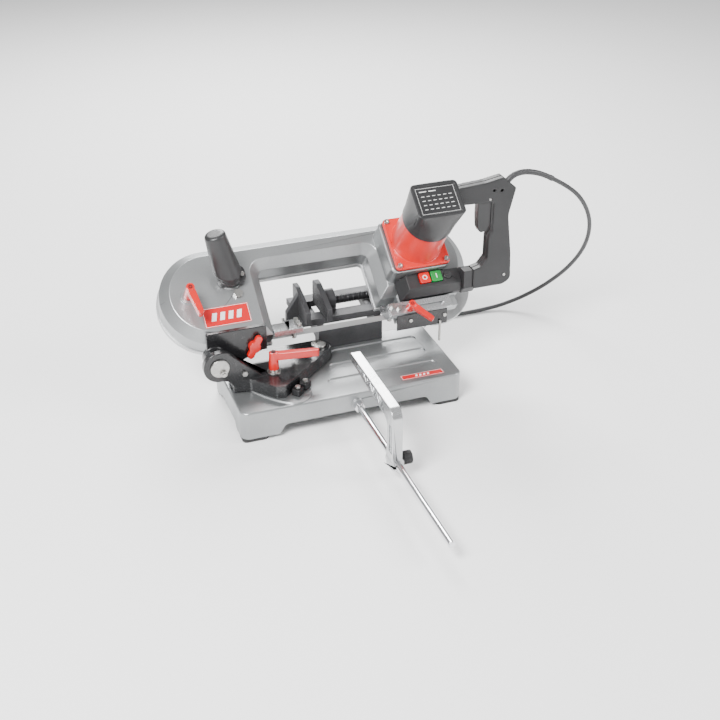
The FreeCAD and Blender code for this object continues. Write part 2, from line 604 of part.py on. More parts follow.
def blade():
    """Closed toothed band: round both wheels, then twisted upright through the guides."""
    radius, thick = size("wheel_radius") + 0.1, size("blade_thickness")
    drop, far = size("lobe_drop"), size("centre_distance")
    front, width = size("wheel_front") + 1, size("blade_width")
    outer = radius + thick
    loops = []
    for reach in (radius, outer):
        low, high = -drop - reach, reach - drop
        corner = reach - 0.001
        loops.append([(-reach, low, corner), (far + reach, low, corner),
                      (far + reach, high, corner), (-reach, high, corner)])
    solids = []
    for index, loop in enumerate(loops):
        edges = [piece.toShape() for piece in rounded(loop)]
        face = Part.Face(Part.Wire(Part.__sortEdges__(edges)))
        face.translate(Vector(0, 0, -front - width))
        solids.append(face.extrude(Vector(0, 0, width)))
    band = solids[1].cut(solids[0])
    start, end = 12, far - 12
    gate = Part.makeBox(end - start, 40, 60, Vector(start, -drop - outer - 20, -front - 40))
    band = band.cut(gate)
    band.Placement = BOW
    line, teeth = size("blade_line"), size("blade_teeth")

    def flat_section(u):
        corners = ((-drop - outer, -front - width), (-drop - radius, -front - width),
                   (-drop - radius, -front), (-drop - outer, -front))
        return Part.makePolygon([BOW.multVec(Vector(u, v, n)) for v, n in corners + corners[:1]])

    def upright_section(x):
        corners = ((line - thick / 2, teeth), (line + thick / 2, teeth),
                   (line + thick / 2, teeth + width), (line - thick / 2, teeth + width))
        return Part.makePolygon([Vector(x, y, z) for y, z in corners + corners[:1]])

    left, right = -118, 158
    lofts = [Part.makeLoft([flat_section(start), upright_section(left)], True, True),
             Part.makeLoft([upright_section(left), upright_section(right)], True, True),
             Part.makeLoft([upright_section(right), flat_section(end)], True, True)]
    return band.fuse(lofts).removeSplitter()


def build_motor():
    """Gasket, red housing, cap with its plate, stator and screws."""
    u, v = size("motor_u"), size("motor_v")
    level, half = size("boss_height"), size("flange_side") / 2
    square = rectangle(u - half, v - half, u + half, v + half, 8)
    node("motor_gasket", plate("gasket", square, 3, raised(level), [(u, v, 46)]), BOW)
    square = rectangle(u - half, v - half, u + half, v + half, 8)
    flange = plate("motor_flange", square, "dims.flange_thickness", raised(level + 3))
    base = level + 3 + size("flange_thickness")
    barrel = cone("motor_barrel", "dims.motor_radius + 3", "dims.motor_radius",
                  "dims.motor_length", (u, v, base))
    shell = joined("motor_shell", [flange, barrel])
    bore = cylinder("motor_bore", "dims.motor_radius - 4", 120, (u, v, level))
    node("motor_housing", carved("motor_housing_body", shell, [bore]), BOW)
    rise = base + size("motor_length")
    top = rise + size("cap_height")
    circle = Part.Wire(Part.makeCircle(size("cap_radius"), Vector(u, v, rise)))
    skirt = Part.Face(circle).extrude(Vector(0, 0, 14))
    long_half, short_half = size("cap_long") / 2, size("cap_short") / 2
    upper = rectangle(u - long_half, v - short_half, u + long_half, v + short_half, 9)
    edges = [piece.toShape() for piece in rounded(upper)]
    roof = Part.Wire(Part.__sortEdges__(edges))
    roof.translate(Vector(0, 0, top))
    lower = Part.Wire(Part.makeCircle(size("cap_radius"), Vector(u, v, rise + 14)))
    loft = Part.makeLoft([lower, roof], True, False)
    cap_shape = skirt.fuse(loft)
    recess = rectangle(u - long_half + 7, v - short_half + 7, u + long_half - 7,
                       v + short_half - 7, 5)
    edges = [piece.toShape() for piece in rounded(recess)]
    panel = Part.Wire(Part.__sortEdges__(edges))
    panel.translate(Vector(0, 0, top - 3))
    cap_shape = cap_shape.cut(Part.Face(panel).extrude(Vector(0, 0, 5)))
    cap_shape = cap_shape.cut(Part.makeCylinder(34, 60, Vector(u, v, rise - 1)))
    cap = doc.addObject("Part::Feature", "motor_cap")
    cap.Shape = cap_shape
    node("motor_cap", cap, BOW)
    screws = []
    spread = size("screw_spacing") / 2
    for index, (side_u, side_v) in enumerate(((-1, -1), (1, -1), (-1, 1), (1, 1))):
        spot = (u + side_u * spread, v + side_v * spread, base)
        screws.append(cylinder(f"motor_screw_{index}", 5.5, 5, spot))
    node("motor_screws", group("motor_screw_set", screws), BOW)


def build_switch():
    """Switch box with stop and start buttons, the dial and its frame."""
    spot = Placement(Vector(378, 0, 0), Rotation(Vector(1, 1, 1), 120))
    profile = [(-46.6, 0), (-46.6, 30), (-80, 30, 3), (-91, 9, 3), (-91, 0)]
    box = plate("switch_box_body", profile, 134, spot)
    middles = (434, 460, 486)
    pockets = [block(f"switch_pocket_{index}", (24, 24, 12), (u - 12, -72, 20))
               for index, u in enumerate(middles[:2])]
    pockets.append(cylinder("dial_well", 9, 12, (middles[2], -60, 24)))
    slope = [(370, -5), (378, 3), (398, 33), (398, 45), (360, 45)]
    wedge = plate("switch_slope", slope, 80, Placement(Vector(0, -30, 0), Rotation(Vector(1, 0, 0), 90)))
    node("switch_box", carved("switch_box_cut", box, pockets + [wedge]), BOW)
    for label, u in (("stop_button", middles[0]), ("start_button", middles[1])):
        outline = rectangle(u - 11.6, -71.6, u + 11.6, -48.4, 3)
        node(label, plate(label + "_body", outline, 10, raised(25)), BOW)
    node("speed_dial", joined("dial_body", [
        cylinder("dial_disc", 8.6, 7.7, (middles[2], -60, 24.3)),
        block("dial_pointer", (14, 3, 3), (middles[2] - 7, -61.5, 31))]), BOW)


def build_guides():
    """Left guide fixed to the bow, right guide that slides, rollers, lever and guard."""
    line = size("blade_line")
    bar = block("guide_bar", (31, 33, 12), ("dims.bow_x + dims.window_left", 17, 153))
    head = block("guide_head", (31, 41, 12), (-95.5, 17, 153))
    under = block("guide_under", (20, 22, 10), (-92, 36, 144))
    soft = softened("guide_head_soft", head, 2, lambda edge: edge.BoundBox.ZMin > 164.9)
    node("left_guide", joined("left_guide_body", [bar, soft, under]))
    half = size("blade_thickness") / 2
    for label, x in (("left_guide_rollers", -78), ("right_guide_rollers", 131)):
        rollers = [cylinder(f"{label}_{index}", 5, 12.6, (x, line + side * (half + 5.1), 131))
                   for index, side in enumerate((-1, 1))]
        node(label, group(label + "_set", rollers))
    bar_outline = rectangle(349, -120, 487, -94, 3)
    slot_mid, stud_u = -110, 393
    slot = plate("guide_slot", rectangle(stud_u - 5, slot_mid - 4.3, 468.5, slot_mid + 4.3, 4.2),
                 20, raised(-5))
    slide = carved("slide_bar", plate("guide_arm", bar_outline, 5.7, raised(GAP)), [slot])
    slide.Placement = BOW
    foot = [(-2.7, 164.9), (17.6, 180.9), (28, 168), (58, 162), (58, 146), (38, 144), (20, 146)]
    head = plate("guide_foot", foot, 31, facing_right(115.5))
    node("right_guide", joined("right_guide_body", [slide, head]))
    guard = rectangle(-4.9, 130, -2.5, 164, 1)
    node("blade_guard", plate("blade_guard_body", guard, 112, facing_right(130)))
    clamps = group("slide_bolts", [hexagon(f"right_bolt_{index}", 6, 7, (u, v, 6)) for index, (u, v) in
                                   enumerate(((358, -101), (371, -107)))])
    clamps.Placement = BOW
    bolts = [clamps]
    for index, x in enumerate((160, 236)):
        bolts.append(cylinder(f"guard_screw_{index}", 4, 3, (x, -4.9, 150), "-y"))
    bolts.append(cylinder("guard_pin", 2.5, 48, (225, -7.5, 92)))
    node("guide_fixings", group("guide_fixing_set", bolts))
    turn = Placement(Vector(stud_u, slot_mid, 6.4), Rotation(Vector(0, 0, 1), -50))
    node("guide_lever", lever("guide_lever_body", 9, 24, 54, 7, 5, 2), BOW.multiply(turn))


def front_grip():
    """Leaning hand grip on a block foot."""
    foot = plate("grip_foot", rectangle(16, 2, 74, 42, 14), 14, raised(3))
    lower, upper = Vector(39, 22, 17), Vector(13, 74, 104)
    lean = upper - lower
    grip = cone("grip_body", 20.5, 16, lean.Length * 1.15, (0, 0, 0))
    soft = softened("grip_soft", grip, 6,
                    lambda edge: edge.BoundBox.ZMin > 60 and edge.BoundBox.ZLength < 1)
    lean_turn = Rotation(Vector(0, 0, 1), lean)
    soft.Placement = Placement(lower - lean * 0.15, lean_turn)
    cut = block("grip_cut", (200, 200, 100), (-60, -80, -87))
    return joined("grip_whole", [foot, carved("grip_cut_off", soft, [cut])])


def handle_outline():
    """The D handle seen from the front, from the motor cap down to the bracket."""
    return [(240, 388.5), (240, 424), (318, 429), (357, 436, 4), (386, 410, 5), (372, 352, 40),
            (383, 264, 60), (386, 205, 16), (368, 196, 20), (300, 196, 6), (300, 240), (316, 244, 10),
            (330, 262, 10), (330, 312, 8), (338, 322, 5), (338, 386, 6)]


def build_grips():
    """Front grip, D handle with trigger, bracket and fixings."""
    node("front_grip", front_grip(), BOW)
    node("bow_label", plate("bow_label_sheet", rectangle(-28, -77, 66, -35, 2), 0.6), BOW)
    half = size("handle_thickness") / 2
    holes = [(337, 410, 3.2), (354, 408, 3.2), (370, 218, 3.1), (329, 392, 2.5)]
    for label, back in (("handle_front_shell", 12), ("handle_back_shell", 12 + half)):
        shell = plate(label + "_body", handle_outline(), half, facing_front(back), holes)
        well = block(label + "_well", (35.5, 19, 20), (301.5, 2.5, 380))
        opened = carved(label + "_opened", shell, [well])
        node(label, carved(label + "_cut", opened, [NODES["motor_cap"]]))
    trigger = [(305, 396, 3), (332.5, 396, 3), (332.5, 340, 6), (326, 322, 4), (312, 320, 5), (306, 332, 8),
               (304, 360, 30)]
    node("trigger", plate("trigger_body", trigger, 17, facing_front(20.5), [(329, 392, 2.55)]))
    web = plate("handle_bracket_web", rectangle(512.3, -92, 546, -46, 5), 32, raised(-4))
    lobe = cylinder("bracket_lobe_cut", "dims.lobe_radius + 0.1", 60, (450, -3, -59.9))
    raw = carved("bracket_raw", web, [lobe])
    raw.Placement = BOW
    foot = block("bracket_foot", (20, 22, 40), (280, 2, 198))
    room = block("bracket_room", (60, 27, 60), (300, -1.5, 195.9))
    node("handle_bracket", carved("handle_bracket_cut", joined("bracket_whole", [raw, foot]), [room]))


def build_fixings():
    """Bolts, studs and screws on the bow."""
    items = [hexagon(f"left_bolt_{index}", 5.5, 5, (-71, y, 165)) for index, y in
             enumerate((50, 38, 26))]
    items += [cylinder("handle_screw", 3.1, 27, (370, -1.5, 218), "y"),
              cylinder("trigger_pin", 2.5, 26, (329, -1, 392), "y")]
    face_items = group("face_fixings", [
        hexagon("grip_screw", 5.5, 4, (66, 20, 17)),
        hexagon("mount_nut", 10, 7, (52, -14, 0)),
        cylinder("guide_stud", 4, 42.5, (393, -110, -20))])
    face_items.Placement = BOW
    node("bow_fixings", group("bow_fixing_set", items + [face_items]))
    depth = size("bow_depth") + size("cover_depth")
    screws = [cylinder(f"cover_screw_{index}", 4, 2.5, (u, v, -depth - 2.5))
              for index, (u, v) in enumerate(COVER_SCREWS)]
    node("cover_screws", group("cover_screw_set", screws), BOW)


def build_bow():
    """The casting, its cover, the bracket with the hinge barrel, and the blade."""
    node("bow_frame", bow_frame(), BOW)
    node("bow_back_cover", back_cover(), BOW)
    band = doc.addObject("Part::Feature", "saw_blade")
    band.Shape = blade()
    node("saw_blade", band)
    x, z = size("hinge_x"), size("hinge_height")
    barrel = cylinder("hinge_barrel", "dims.barrel_radius", 37.2, (x, -14.7, z), "y")
    wedge = [(12.5, 132), (12.5, 186), (24.1, 186), (24.1, 183.6), (20.9, 157.4), (37.4, 136), (37.4, 132)]
    web = plate("bracket_web", wedge, 92, facing_right(-235))
    face = [(-266, 186, 4), (-266, 140), (-240, 116), (-205, 112, 14), (-143, 136, 8), (-143, 186, 3)]
    front = plate("bracket_face", face, 8.3, facing_front(20.8))
    bored = cylinder("barrel_bore", "dims.axle_radius + dims.running_gap", 60, (x, -25, z), "y")
    node("bow_bracket", carved("bow_bracket_cut", joined("bow_bracket_raw", [barrel, web, front]),
                               [bored]))
    knob = plate("wing_knob_body", [(-26, -7, 6.9), (26, -7, 6.9), (26, 7, 6.9), (-26, 7, 6.9)], 9)
    knob.Placement = Placement(Vector(0, 0, 3), Rotation(Vector(0, 0, 1), 62))
    hub = cylinder("wing_knob_hub", 12, 12, (0, 0, 0))
    node("wing_knob", joined("wing_knob_whole", [knob, hub]),
         Placement(Vector(-171, 12.2, 146), Rotation(Vector(1, 0, 0), 90)))


def build_stop():
    """Length stop: clamp on the rod, upright and a bar with a zigzag web, and its knob."""
    low_left, low_right, top = 126, 142, 158
    outline = [(-331, 28, 6), (-299, 28, 6), (-303, low_left, 18), (-95, low_right, 7.9),
               (-95, top, 7.9), (-331, top, 22)]
    arm = plate("stop_arm_body", outline, 20, facing_right(-6))
    clamp = cylinder("stop_clamp", 13, 32, ("dims.rod_x", -331, "dims.rod_height"), "y")
    pockets = []
    cells = []
    for index in range(5):
        near = -287 + index * 34
        floor = low_left + (near + 303) * (low_right - low_left) / 208 + 6
        cells.append([(near, floor), (near + 25, floor + 2), (near + 12, top - 5)])
        if index < 4:
            cells.append([(near + 17, top - 5), (near + 44, top - 5), (near + 30, floor + 3)])
    cells.append([(-326, 64), (-309, 64), (-309, 122), (-326, 122)])
    for index, cell in enumerate(cells):
        for side, left in enumerate((-7, 9)):
            pockets.append(plate(f"stop_cell_{index}_{side}", cell, 6, facing_right(left)))
    whole = joined("stop_arm_raw", [carved("stop_arm_web", arm, pockets), clamp])
    start = ("dims.rod_x", -340, "dims.rod_height")
    node("stop_arm", carved("stop_arm_cut", whole, [
        cylinder("stop_bore", "dims.rod_radius + dims.running_gap", 60, start, "y"),
        cylinder("stop_thread", 3.05, 20, (12, -315, "dims.rod_height"), "x")]))
    node("stop_knob", joined("stop_knob_body", [
        cylinder("stop_knob_shank", 3, 7.6, (14.9, -315, "dims.rod_height"), "x"),
        cone("stop_knob_grip", 11, 13, 17, (20.5, -315, "dims.rod_height"), "x")]))


# Cord centre line, from the end of the sleeve down to the floor behind the saw.
CORD_ROUTE = ((473, 12, 413), (520, 14, 386), (565, 26, 338), (598, 50, 276), (612, 86, 206),
              (604, 130, 138), (578, 176, 78), (538, 211, 34), (488, 229, 10), (436, 231, 4.6),
              (372, 230.5, 4.6))
SLEEVE_ROUTE = ((371.7, 12, 423), (380, 12, 432.4), (403, 12, 437.5), (429, 12, 433), (452, 12, 424.6),
                (473, 12, 413))


def tube(name, route, radius):
    """A round tube along straight runs joined by tangent arcs."""
    points = [Vector(*point) for point in route]
    runs = [(after - before).Length for before, after in zip(points, points[1:])]
    edges = []
    radii = []
    start = points[0]
    for index in range(1, len(points) - 1):
        here = points[index]
        back, ahead = points[index - 1] - here, points[index + 1] - here
        back.normalize()
        ahead.normalize()
        half = back.getAngle(ahead) / 2
        reach = 0.45 * min(runs[index - 1], runs[index])
        bend = reach * math.tan(half)
        middle = back + ahead
        middle.normalize()
        top = here + middle * (bend / math.sin(half) - bend)
        first, last = here + back * reach, here + ahead * reach
        edges.append(Part.LineSegment(start, first).toShape())
        edges.append(Part.Arc(first, top, last).toShape())
        radii.append(round(bend, 1))
        start = last
    edges.append(Part.LineSegment(start, points[-1]).toShape())
    path = Part.Wire(edges)
    section = Part.Wire(Part.makeCircle(radius, points[0], points[1] - points[0]))
    solid = path.makePipeShell([section], True, False)
    expected = math.pi * radius ** 2 * path.Length
    print(name, "radii", radii, "length", round(path.Length, 1),
          "volume ratio", round(solid.Volume / expected, 5))
    item = doc.addObject("Part::Feature", name)
    item.Shape = solid
    return item


def build_cord():
    """Sleeve, mains cord, its coil on the floor and the plug."""
    node("cord_sleeve", tube("cord_sleeve_tube", SLEEVE_ROUTE, 6.5))
    start, following = Vector(*CORD_ROUTE[0]), Vector(*CORD_ROUTE[1])
    lead = (following - start).normalize() * GAP
    route = ((start + lead).x, (start + lead).y, (start + lead).z)
    node("power_cord", tube("power_cord_tube", (route,) + CORD_ROUTE[1:], size("cord_radius")))
    node("cord_coil", ring("cord_coil_ring", 64, 36, 18.6, (320, 290, 0)))
    axis_y, axis_z = 349.5, 17
    rear = cylinder("plug_body", 17, 38, (390, axis_y, axis_z), "x")
    body = softened("plug_soft", rear, 2, lambda edge: edge.Length > 100)
    pins = [cylinder(f"plug_pin_{index}", 2.4, 20, (427, axis_y + side * 9.5, axis_z), "x")
            for index, side in enumerate((-1, 1))]
    node("power_plug", joined("plug_whole", [
        body, cone("plug_neck", 5.5, 10, 36, (355, axis_y, axis_z), "x")] + pins))


def main():
    """Builds every piece, checks it and writes its file."""
    build_base()
    build_vise()
    build_swivel()
    build_bow()
    build_wheels()
    build_motor()
    build_switch()
    build_guides()
    build_grips()
    build_fixings()
    build_stop()
    build_cord()
    doc.recompute()
    for item in doc.Objects:
        if "Invalid" in item.State or "Error" in item.State:
            raise RuntimeError(f"{item.Name} failed: {item.State}")
    os.makedirs("parts", exist_ok=True)
    for label, item in NODES.items():
        shape = item.Shape
        if shape.isNull() or not shape.isValid() or not shape.Solids:
            raise RuntimeError(f"{label} is not a sound solid")
        shape.exportStep(f"parts/{label}.step")
        print(label, len(shape.Solids), "solids", round(shape.Volume / 1000, 1), "cm3")
    print(len(NODES), "pieces")


main()
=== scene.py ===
"""Horizontal band saw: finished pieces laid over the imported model, in its own frame."""
import json
import logging
import math
from dataclasses import dataclass, field
from enum import Enum

import bmesh
import bpy
from mathutils import Matrix, Vector
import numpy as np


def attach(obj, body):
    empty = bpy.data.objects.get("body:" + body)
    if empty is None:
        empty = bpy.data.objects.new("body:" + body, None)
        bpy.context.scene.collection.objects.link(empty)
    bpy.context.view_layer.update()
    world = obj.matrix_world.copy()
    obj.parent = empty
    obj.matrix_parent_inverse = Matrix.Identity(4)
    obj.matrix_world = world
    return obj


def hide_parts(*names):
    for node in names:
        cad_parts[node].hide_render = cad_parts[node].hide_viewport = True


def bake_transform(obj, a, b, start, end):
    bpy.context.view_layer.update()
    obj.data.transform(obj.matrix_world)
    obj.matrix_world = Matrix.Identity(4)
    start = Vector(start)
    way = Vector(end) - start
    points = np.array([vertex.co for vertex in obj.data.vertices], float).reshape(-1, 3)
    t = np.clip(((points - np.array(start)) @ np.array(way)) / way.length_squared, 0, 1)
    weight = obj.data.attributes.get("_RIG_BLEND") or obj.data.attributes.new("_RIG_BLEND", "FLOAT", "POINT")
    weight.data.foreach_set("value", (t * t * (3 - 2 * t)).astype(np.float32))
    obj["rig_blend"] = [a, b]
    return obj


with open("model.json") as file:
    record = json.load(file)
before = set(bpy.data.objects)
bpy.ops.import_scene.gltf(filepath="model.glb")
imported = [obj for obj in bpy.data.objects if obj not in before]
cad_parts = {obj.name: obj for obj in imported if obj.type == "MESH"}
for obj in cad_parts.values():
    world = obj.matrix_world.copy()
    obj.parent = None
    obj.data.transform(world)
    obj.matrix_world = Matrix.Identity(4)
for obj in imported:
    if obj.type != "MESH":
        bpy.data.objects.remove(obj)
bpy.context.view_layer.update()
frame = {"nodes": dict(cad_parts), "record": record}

MM = 0.001
NODES = frame["nodes"]
SLOT_OF = {part["node"]: part["material_slot"] for part in frame["record"]["subparts"]}
BODY_OF = {node: body for body, nodes in frame["record"]["behaviour"]["bodies"].items()
           for node in nodes}
LEAN = math.radians(38.0)
BOW = Matrix(((1, 0, 0, -0.2326), (0, math.cos(LEAN), -math.sin(LEAN), 0.0926),
              (0, math.sin(LEAN), math.cos(LEAN), 0.238), (0, 0, 0, 1)))
log = logging.getLogger("band_saw")


# ---------------------------------------------------------------- shaders

class Value:
    """A number that varies over a surface; arithmetic on it adds Math nodes."""

    def __init__(self, shader: "Shader", socket: bpy.types.NodeSocket) -> None:
        """Wraps an output socket."""
        self.shader, self.socket = shader, socket

    def _join(self, operation: str, first: object, second: object) -> "Value":
        """Adds one Math node.

        Args:
            operation: The Math node's operation.
            first: A number or a Value.
            second: A number or a Value.

        Returns:
            The result as a Value.
        """
        node = self.shader.node("ShaderNodeMath", {"operation": operation}, {0: first, 1: second})
        return Value(self.shader, node.outputs[0])

    def __add__(self, other: object) -> "Value":
        """self + other."""
        return self._join("ADD", self, other)

    __radd__ = __add__

    def __sub__(self, other: object) -> "Value":
        """self - other."""
        return self._join("SUBTRACT", self, other)

    def __rsub__(self, other: object) -> "Value":
        """other - self."""
        return self._join("SUBTRACT", other, self)

    def __mul__(self, other: object) -> "Value":
        """self * other."""
        return self._join("MULTIPLY", self, other)

    __rmul__ = __mul__

    def __pow__(self, other: object) -> "Value":
        """self ** other."""
        return self._join("POWER", self, other)

    def above(self, level: float) -> "Value":
        """One where self is over level, and zero elsewhere."""
        return self._join("GREATER_THAN", self, level)

    def kept(self) -> "Value":
        """self, held between zero and one."""
        return self._join("MINIMUM", self._join("MAXIMUM", self, 0.0), 1.0)


class Shader:
    """One material, built up node by node."""

    def __init__(self, name: str) -> None:
        """Starts an empty node material of that name."""
        self.material = bpy.data.materials.new(name)
        self.material.use_nodes = True
        self.tree = self.material.node_tree
        self.tree.nodes.clear()

    def node(self, kind: str, settings: dict | None = None,
             inputs: dict | None = None) -> bpy.types.Node:
        """Adds a node.

        Args:
            kind: The node's type.
            settings: Properties, set before the sockets.
            inputs: Socket name or index to a number, tuple, socket or Value.

        Returns:
            The new node.
        """
        made = self.tree.nodes.new(kind)
        for key, setting in (settings or {}).items():
            if key == "stops":
                for stop, (place, colour) in zip(made.color_ramp.elements, setting):
                    stop.position, stop.color = place, (*colour, 1)
            else:
                setattr(made, key, setting)
        for key, given in (inputs or {}).items():
            if isinstance(given, Value):
                given = given.socket
            if isinstance(given, bpy.types.NodeSocket):
                self.tree.links.new(given, made.inputs[key])
            else:
                made.inputs[key].default_value = given
        return made

    def noise(self, scale: float, detail: float = 3.0, stretch: tuple = (1, 1, 1)) -> Value:
        """Noise on Object coordinates.

        Args:
            scale: Cells per metre.
            detail: Octaves.
            stretch: Scale of each axis.

        Returns:
            The noise as a Value, about 0.5 on average.
        """
        place = self.node("ShaderNodeTexCoord").outputs["Object"]
        turned = self.node("ShaderNodeMapping", None, {"Vector": place, "Scale": stretch})
        made = self.node("ShaderNodeTexNoise", None,
                         {"Vector": turned.outputs[0], "Scale": scale, "Detail": detail})
        return Value(self, made.outputs["Fac"] if "Fac" in made.outputs else made.outputs[0])

    def mix(self, factor: Value, first: tuple, second: tuple) -> bpy.types.NodeSocket:
        """Mixes two colours.

        Args:
            factor: How much of the second.
            first: A colour, or a socket that gives one.
            second: A colour.

        Returns:
            The colour socket.
        """
        sides = [side if isinstance(side, bpy.types.NodeSocket) else (*side, 1)
                 for side in (first, second)]
        made = self.node("ShaderNodeMix", {"data_type": "RGBA"},
                         {0: factor, 6: sides[0], 7: sides[1]})
        return made.outputs[2]


@dataclass(frozen=True)
class Finish:
    """A surface finish: two close colours, a fine grain, a slow drift and a slight relief."""

    name: str
    colour: tuple
    shade: tuple
    roughness: float = 0.45
    spread: float = 0.12
    metallic: float = 0.0
    coat: float = 0.0
    grain: float = 900.0
    drift: float = 14.0
    depth: float = 0.00008
    stretch: tuple = (1, 1, 1)

    def grainy(self, shader: Shader) -> Value:
        """The fine pattern.

        Args:
            shader: Where its nodes go.

        Returns:
            A Value of about 0.5 on average.
        """
        return shader.noise(self.grain, 4.0, self.stretch)

    def marks(self, shader: Shader, colour: bpy.types.NodeSocket) -> bpy.types.NodeSocket:
        """Lays wear over the colour; the plain finish has none.

        Args:
            shader: Where its nodes go.
            colour: The colour so far.

        Returns:
            The colour with its marks.
        """
        return colour

    def make(self) -> bpy.types.Material:
        """The material, made once."""
        found = bpy.data.materials.get(self.name)
        if found:
            return found
        shader = Shader(self.name)
        fine, slow = self.grainy(shader), shader.noise(self.drift, 2.0)
        tone = ((fine - 0.5) * 1.6 + (slow - 0.5) * 1.8 + 0.5).kept()
        colour = self.marks(shader, shader.mix(tone, self.colour, self.shade))
        rough = ((fine - 0.5) * self.spread + (slow - 0.5) * self.spread + self.roughness).kept()
        bump = shader.node("ShaderNodeBump", None,
                           {"Strength": 0.6, "Distance": self.depth, "Height": fine})
        surface = shader.node("ShaderNodeBsdfPrincipled", None, {
            "Base Color": colour, "Roughness": rough, "Metallic": self.metallic,
            "Coat Weight": self.coat, "Coat Roughness": 0.12, "Normal": bump.outputs[0]})
        shader.node("ShaderNodeOutputMaterial", None, {0: surface.outputs[0]})
        return shader.material


@dataclass(frozen=True)
class CastFinish(Finish):
    """Sand-cast metal: a pebbled skin with scattered darker pits."""

    pit: tuple = (0.2, 0.2, 0.2)

    def grainy(self, shader: Shader) -> Value:
        """Two sizes of pebble together."""
        return shader.noise(self.grain, 5.0) * 0.55 + shader.noise(self.grain * 0.32, 3.0) * 0.45

    def marks(self, shader: Shader, colour: bpy.types.NodeSocket) -> bpy.types.NodeSocket:
        """Small pits, and faint handling stains."""
        pits = shader.noise(self.grain * 0.5, 1.0).above(0.69) * 0.35
        stain = ((shader.noise(5.0, 4.0) - 0.56) * 2.2).kept() * 0.25
        return shader.mix(stain, shader.mix(pits, colour, self.pit), self.pit)


@dataclass(frozen=True)
class PaintFinish(Finish):
    """Paint over metal: orange-peel relief and a few rubbed spots."""

    rubbed: tuple = (0.3, 0.3, 0.3)
    wear: float = 0.18

    def marks(self, shader: Shader, colour: bpy.types.NodeSocket) -> bpy.types.NodeSocket:
        """Rubbed spots where two noises meet."""
        spots = (shader.noise(60.0, 5.0) * shader.noise(420.0, 3.0)).above(0.37)
        return shader.mix(spots * self.wear, colour, self.rubbed)


class Metal(Enum):
    """Bare and plated metals."""

    CAST = CastFinish("satin_sand_cast", (0.40, 0.41, 0.415), (0.29, 0.30, 0.305), 0.38, 0.16,
                      0.85, 0.0, 1500.0, 9.0, 0.00012, pit=(0.24, 0.24, 0.235))
    COVER = CastFinish("pale_cover", (0.56, 0.565, 0.57), (0.46, 0.465, 0.47), 0.33, 0.1,
                       0.55, 0.15, 1100.0, 8.0, 0.00006, pit=(0.4, 0.4, 0.4))
    ZINC = Finish("zinc_plate", (0.52, 0.51, 0.48), (0.38, 0.38, 0.37), 0.28, 0.18, 0.95, 0.0,
                  700.0, 40.0, 0.00004)
    CHROME = Finish("bright_rod", (0.82, 0.83, 0.84), (0.7, 0.71, 0.73), 0.13, 0.08, 1.0, 0.0,
                    300.0, 20.0, 0.00001, (6, 0.4, 6))
    SATIN = Finish("ground_aluminium", (0.6, 0.605, 0.61), (0.46, 0.47, 0.48), 0.27, 0.14, 0.9,
                   0.0, 500.0, 16.0, 0.00004, (1, 0.25, 3))
    IRON = CastFinish("dark_iron", (0.09, 0.09, 0.094), (0.05, 0.05, 0.053), 0.5, 0.18, 0.6, 0.0,
                      1300.0, 18.0, 0.0001, pit=(0.04, 0.04, 0.04))
    BLADE = Finish("blade_steel", (0.56, 0.56, 0.55), (0.38, 0.38, 0.38), 0.26, 0.2, 1.0, 0.0,
                   700.0, 24.0, 0.00003, (0.15, 1, 3))
    BLACKENED = Finish("blackened_screw", (0.045, 0.045, 0.047), (0.02, 0.02, 0.022), 0.34, 0.15,
                       0.7, 0.0, 900.0, 30.0, 0.00004)


class Coating(Enum):
    """Paints, plastics and rubber."""

    BLACK = PaintFinish("black_enamel", (0.008, 0.008, 0.009), (0.016, 0.016, 0.017), 0.26, 0.12,
                        0.0, 0.35, 700.0, 12.0, 0.00008, rubbed=(0.16, 0.16, 0.165))
    RED = PaintFinish("coral_powder", (0.72, 0.022, 0.014), (0.58, 0.014, 0.01), 0.33, 0.1, 0.0,
                      0.3, 1300.0, 10.0, 0.00007, rubbed=(0.9, 0.25, 0.2), wear=0.12)
    GLOSS = Finish("lever_red", (0.62, 0.008, 0.005), (0.5, 0.006, 0.004), 0.22, 0.08, 0.0, 0.5,
                   800.0, 22.0, 0.00003)
    PLASTIC = Finish("black_moulding", (0.011, 0.011, 0.012), (0.02, 0.02, 0.021), 0.46, 0.14,
                     0.0, 0.0, 2200.0, 16.0, 0.0001)
    CAP = Finish("cap_moulding", (0.013, 0.013, 0.014), (0.024, 0.024, 0.025), 0.38, 0.12, 0.0, 0.08,
                 2600.0, 14.0, 0.00009)
    RUBBER = Finish("black_rubber", (0.018, 0.018, 0.018), (0.034, 0.033, 0.032), 0.72, 0.12,
                    0.0, 0.0, 1500.0, 20.0, 0.00012)
    GREEN = Finish("green_button", (0.006, 0.25, 0.04), (0.004, 0.18, 0.03), 0.28, 0.08, 0.0, 0.3,
                   900.0, 40.0, 0.00002)
    LABEL = Finish("red_sheet", (0.58, 0.004, 0.008), (0.5, 0.003, 0.006), 0.3, 0.06, 0.0, 0.25,
                   600.0, 12.0, 0.00001)
    PRINT = Finish("pale_print", (0.86, 0.86, 0.85), (0.78, 0.78, 0.77), 0.42, 0.06, 0.0, 0.0,
                   800.0, 30.0, 0.00001)
    CORD = Finish("cord_sheath", (0.022, 0.022, 0.024), (0.04, 0.04, 0.042), 0.5, 0.12, 0.0, 0.0,
                  1800.0, 26.0, 0.00008)


# ---------------------------------------------------------------- meshes

def holder(name: str, mesh: bpy.types.Mesh) -> bpy.types.Object:
    """An object at the origin that shows a mesh.

    Args:
        name: The piece's name.
        mesh: Its mesh, already in place.

    Returns:
        The linked object.
    """
    mesh.name = name
    made = bpy.data.objects.new(name, mesh)
    bpy.context.scene.collection.objects.link(made)
    return made


